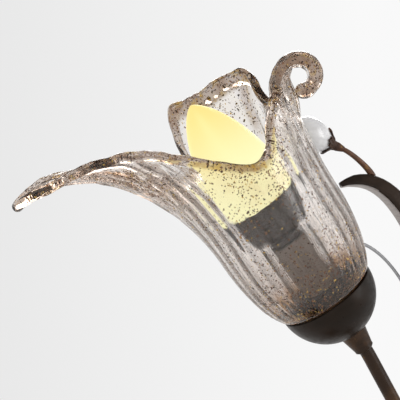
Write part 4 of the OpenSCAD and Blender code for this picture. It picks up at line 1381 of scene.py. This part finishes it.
@dataclass
class LeafAndBud:
    """The arching leaf, the bud on its stem and the wire tendril."""

    bud_radius: float = 8.25
    bud_z0: float = 2.6
    wide_z: float = 17.85
    calyx_z0: float = -0.6
    calyx_len: float = 10.0
    tendril: tuple[Triple, ...] = ((0, 11, 237.2), (14, 26, 294), (-14, 26, 328),
                                                       (-31, 26, 330))

    def bud(self) -> Piece:
        """The drop of opal glass.

        Returns:
            The finished piece.
        """
        r, wide, steps = self.bud_radius, self.wide_z, 40
        profile: Profile = [(0, 9.0), (0.63, 9.0), (0.63, self.bud_z0 + 0.3)]
        for k in range(1, steps + 1):
            z = self.bud_z0 + (wide - self.bud_z0) * k / steps
            profile.append((max(0.7, r * math.sin(math.pi / 2 * k / steps)), z))
        profile += [(r * math.cos(math.pi / 2 * k / 24), wide + (r + 1) * math.sin(math.pi / 2 * k / 24))
                    for k in range(1, 25)]
        return turned("opal_bud", profile, BUD, steps=96, how=Smoothing.ROUND)

    def hugging(self, z: float) -> float:
        """Radius of the calyx at a height: over the stem's end, then just clear of the bud.

        Args:
            z: the height, in millimetres.

        Returns:
            The value, in millimetres.
        """
        if z <= self.bud_z0:
            return 1.3 + 0.25 * (z - self.calyx_z0)
        f = min(1.0, (z - self.bud_z0) / (self.wide_z - self.bud_z0))
        return max(2.1, self.bud_radius * math.sin(math.pi / 2 * f) + 0.3)

    def calyx(self) -> Piece:
        """The torn metal cup that holds the bud, beaten out into ragged sepals.

        Returns:
            The finished piece.
        """
        low, tall, steps = self.calyx_z0, self.calyx_len, 22
        heights = [low + tall * k / steps for k in range(steps + 1)]
        piece = turned("sepals", [(self.hugging(z), z) for z in heights], steps=132,
                       how=Smoothing.FLUID)
        for v in piece.data.vertices:
            a = math.atan2(v.co.y, v.co.x)
            share = (v.co.z / MM - low) / tall
            rag = Vector((math.cos(a), math.sin(a), 0.3))
            top = 6.0 + 3.2 * abs(math.cos(2.5 * a + 0.6)) ** 0.7 + 2.2 * noise.noise(rag * 3.3)
            top += 0.8 * noise.noise(rag * 9.0)
            z = low + share * (top - low)
            beaten = noise.noise(rag * 4.0 + Vector((0, 0, z)))
            r = self.hugging(z) + 1.0 * share**4 + 0.35 * share * beaten
            v.co = Vector((r * math.cos(a), r * math.sin(a), z)) * MM
        apply(piece, "SOLIDIFY", thickness=0.6 * MM, offset=1.0)
        smooth(piece, Smoothing.ROUND)
        settle(piece, BUD)
        return piece

    def build(self) -> None:
        """Models and dresses the leaf, the bud and the tendril."""
        leaf = refined("leaf", "leaf_scroll", 2, 0.5)
        fit(leaf, "leaf_scroll", DARK_BRONZE)
        # Faces turned downward take the pale grey metal, a painted reflection on the leaf's underside.
        panel(leaf, LEAF_UNDER_REFLECTION, lambda face: face.normal.z < -0.35)
        fit(refined("stem", "bud_stem", 1), "bud_stem", STEM_BRONZE)
        fit(self.calyx(), "bud_calyx", CALYX_GOLD)
        fit(self.bud(), "bud_glass", OpalGlass("opal_glass"))
        wire = rod("tendril_wire", self.tendril, 0.75)
        fit(wire, "tendril", WIRE_STEEL)
        dress(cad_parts["bud_pin"], RAW_BRASS)


# --- studio


@dataclass
class Studio:
    """Pale floor, soft light and the camera.

    The backdrop gives, across the view, two places and the grey at each. The belt gives
    the grey that gloss and glass see, from straight down at 0 to straight up at 1.
    """

    eye: Triple = (-304.60, -651.32, 400.01)
    right: Triple = (0.95908, -0.28312, 0.0)
    up: Triple = (0.01975, 0.06690, 0.99756)
    back: Triple = (-0.28243, -0.95675, 0.06976)
    lens: float = 143.18
    light: float = 0.62
    backdrop: tuple[float, ...] = (-0.12, 0.10, 0.815, 0.945)
    belt: tuple[tuple[float, float], ...] = ((0.0, 0.25), (0.34, 0.35), (0.42, 0.88), (0.62, 0.92),
                                             (0.72, 0.22), (1.0, 0.10))

    def world(self) -> None:
        """Even light, and a pale backdrop for the camera, gloss and glass."""
        world = bpy.data.worlds.new("studio")
        bpy.context.scene.world = world
        world.use_nodes = True
        s = Tree(world.node_tree)
        s.tree.nodes.clear()
        rays = s.add("LightPath").outputs
        camera = rays["Is Camera Ray"]
        toward = s.add("TexCoord").outputs["Generated"]
        across = s.node("VectorMath", {0: toward, 1: self.right}, "Value", operation="DOT_PRODUCT")
        backdrop = s.node("MapRange", dict(enumerate((across, *self.backdrop))))
        belt = s.add("ValToRGB")
        height = s.node("SeparateXYZ", {0: toward}, 2)
        s.join(s.math("MULTIPLY_ADD", height, 0.5, 0.5), belt.inputs[0])
        stops = belt.color_ramp.elements
        stops[0].position, stops[1].position = self.belt[0][0], self.belt[-1][0]
        for place, _ in self.belt[1:-1]:
            stops.new(place)
        for stop, (_, level) in zip(stops, self.belt):
            stop.color = (level, level, level, 1.0)
        seen = s.mix(s.math("SUBTRACT", 1.0, camera), backdrop, belt.outputs[0])
        either = camera
        for name in ("Is Glossy Ray", "Is Transmission Ray"):
            either = s.math("MAXIMUM", either, rays[name])
        lit = s.node("Background", {0: (1.0, 0.99, 0.98), 1: self.light})
        sides = {0: either, 1: lit, 2: s.node("Background", {0: seen})}
        s.join(s.node("MixShader", sides), s.add("OutputWorld").inputs[0])

    def floor(self) -> None:
        """A wide pale disc under the lamp."""
        deselect()
        bpy.ops.mesh.primitive_circle_add(vertices=96, radius=1.0, fill_type="NGON", location=(0, 0, 0))
        disc = bpy.context.object
        disc.name = "floor"
        s = Shader("floor_pale")
        s.set(Base_Color=s.mix(s.noise(3.0, 2.0), (0.80, 0.80, 0.80), (0.83, 0.83, 0.83)), Roughness=0.9)
        disc.data.materials.append(s.material)

    def lamp(self, name: str, at: Triple, size: tuple[float, float],
             power: float) -> None:
        """A soft box aimed at the lamp's head.

        Args:
            name: the light's name.
            at: its place, in metres.
            size: its width and height, in metres.
            power: its power, in watts.
        """
        data = bpy.data.lights.new(name, "AREA")
        data.shape = "RECTANGLE"
        data.size, data.size_y, data.energy = size[0], size[1], power
        box = link(bpy.data.objects.new(name, data))
        box.location = at
        aim = Vector(HEAD.origin) * MM - Vector(at)
        box.rotation_euler = aim.to_track_quat("-Z", "Y").to_euler()

    def camera(self) -> None:
        """The photograph's camera."""
        data = bpy.data.cameras.new("view")
        data.sensor_width = 36.0
        data.lens = self.lens
        data.clip_start = 0.02
        eye = link(bpy.data.objects.new("view", data))
        turn = Matrix((self.right, self.up, self.back)).transposed().to_4x4()
        eye.matrix_world = Matrix.Translation(Vector(self.eye) * MM) @ turn
        bpy.context.scene.camera = eye

    def build(self) -> None:
        """Sets up the studio."""
        bpy.context.scene.view_settings.view_transform = "Standard"
        self.world()
        self.floor()
        self.lamp("key", (-1.1, -1.0, 1.3), (0.9, 0.9), 9.0)
        self.lamp("fill", (1.2, -0.8, 0.7), (0.7, 1.0), 6.0)
        self.lamp("rim", (0.3, 1.2, 1.0), (1.0, 0.6), 8.0)
        self.camera()


def main() -> None:
    """Builds the lamp piece by piece, then the studio, and logs each assembly as it is done."""
    logging.basicConfig(level=logging.INFO, format="%(name)s: %(message)s")
    for assembly in (Foot(), Column(), Arm(), CupAndHolder(), Bulb(), TulipShade(), LeafAndBud(),
                     Studio()):
        assembly.build()
        LOG.info("%s done", type(assembly).__name__)
    bpy.context.view_layer.update()


if __name__ == "__main__":
    main()
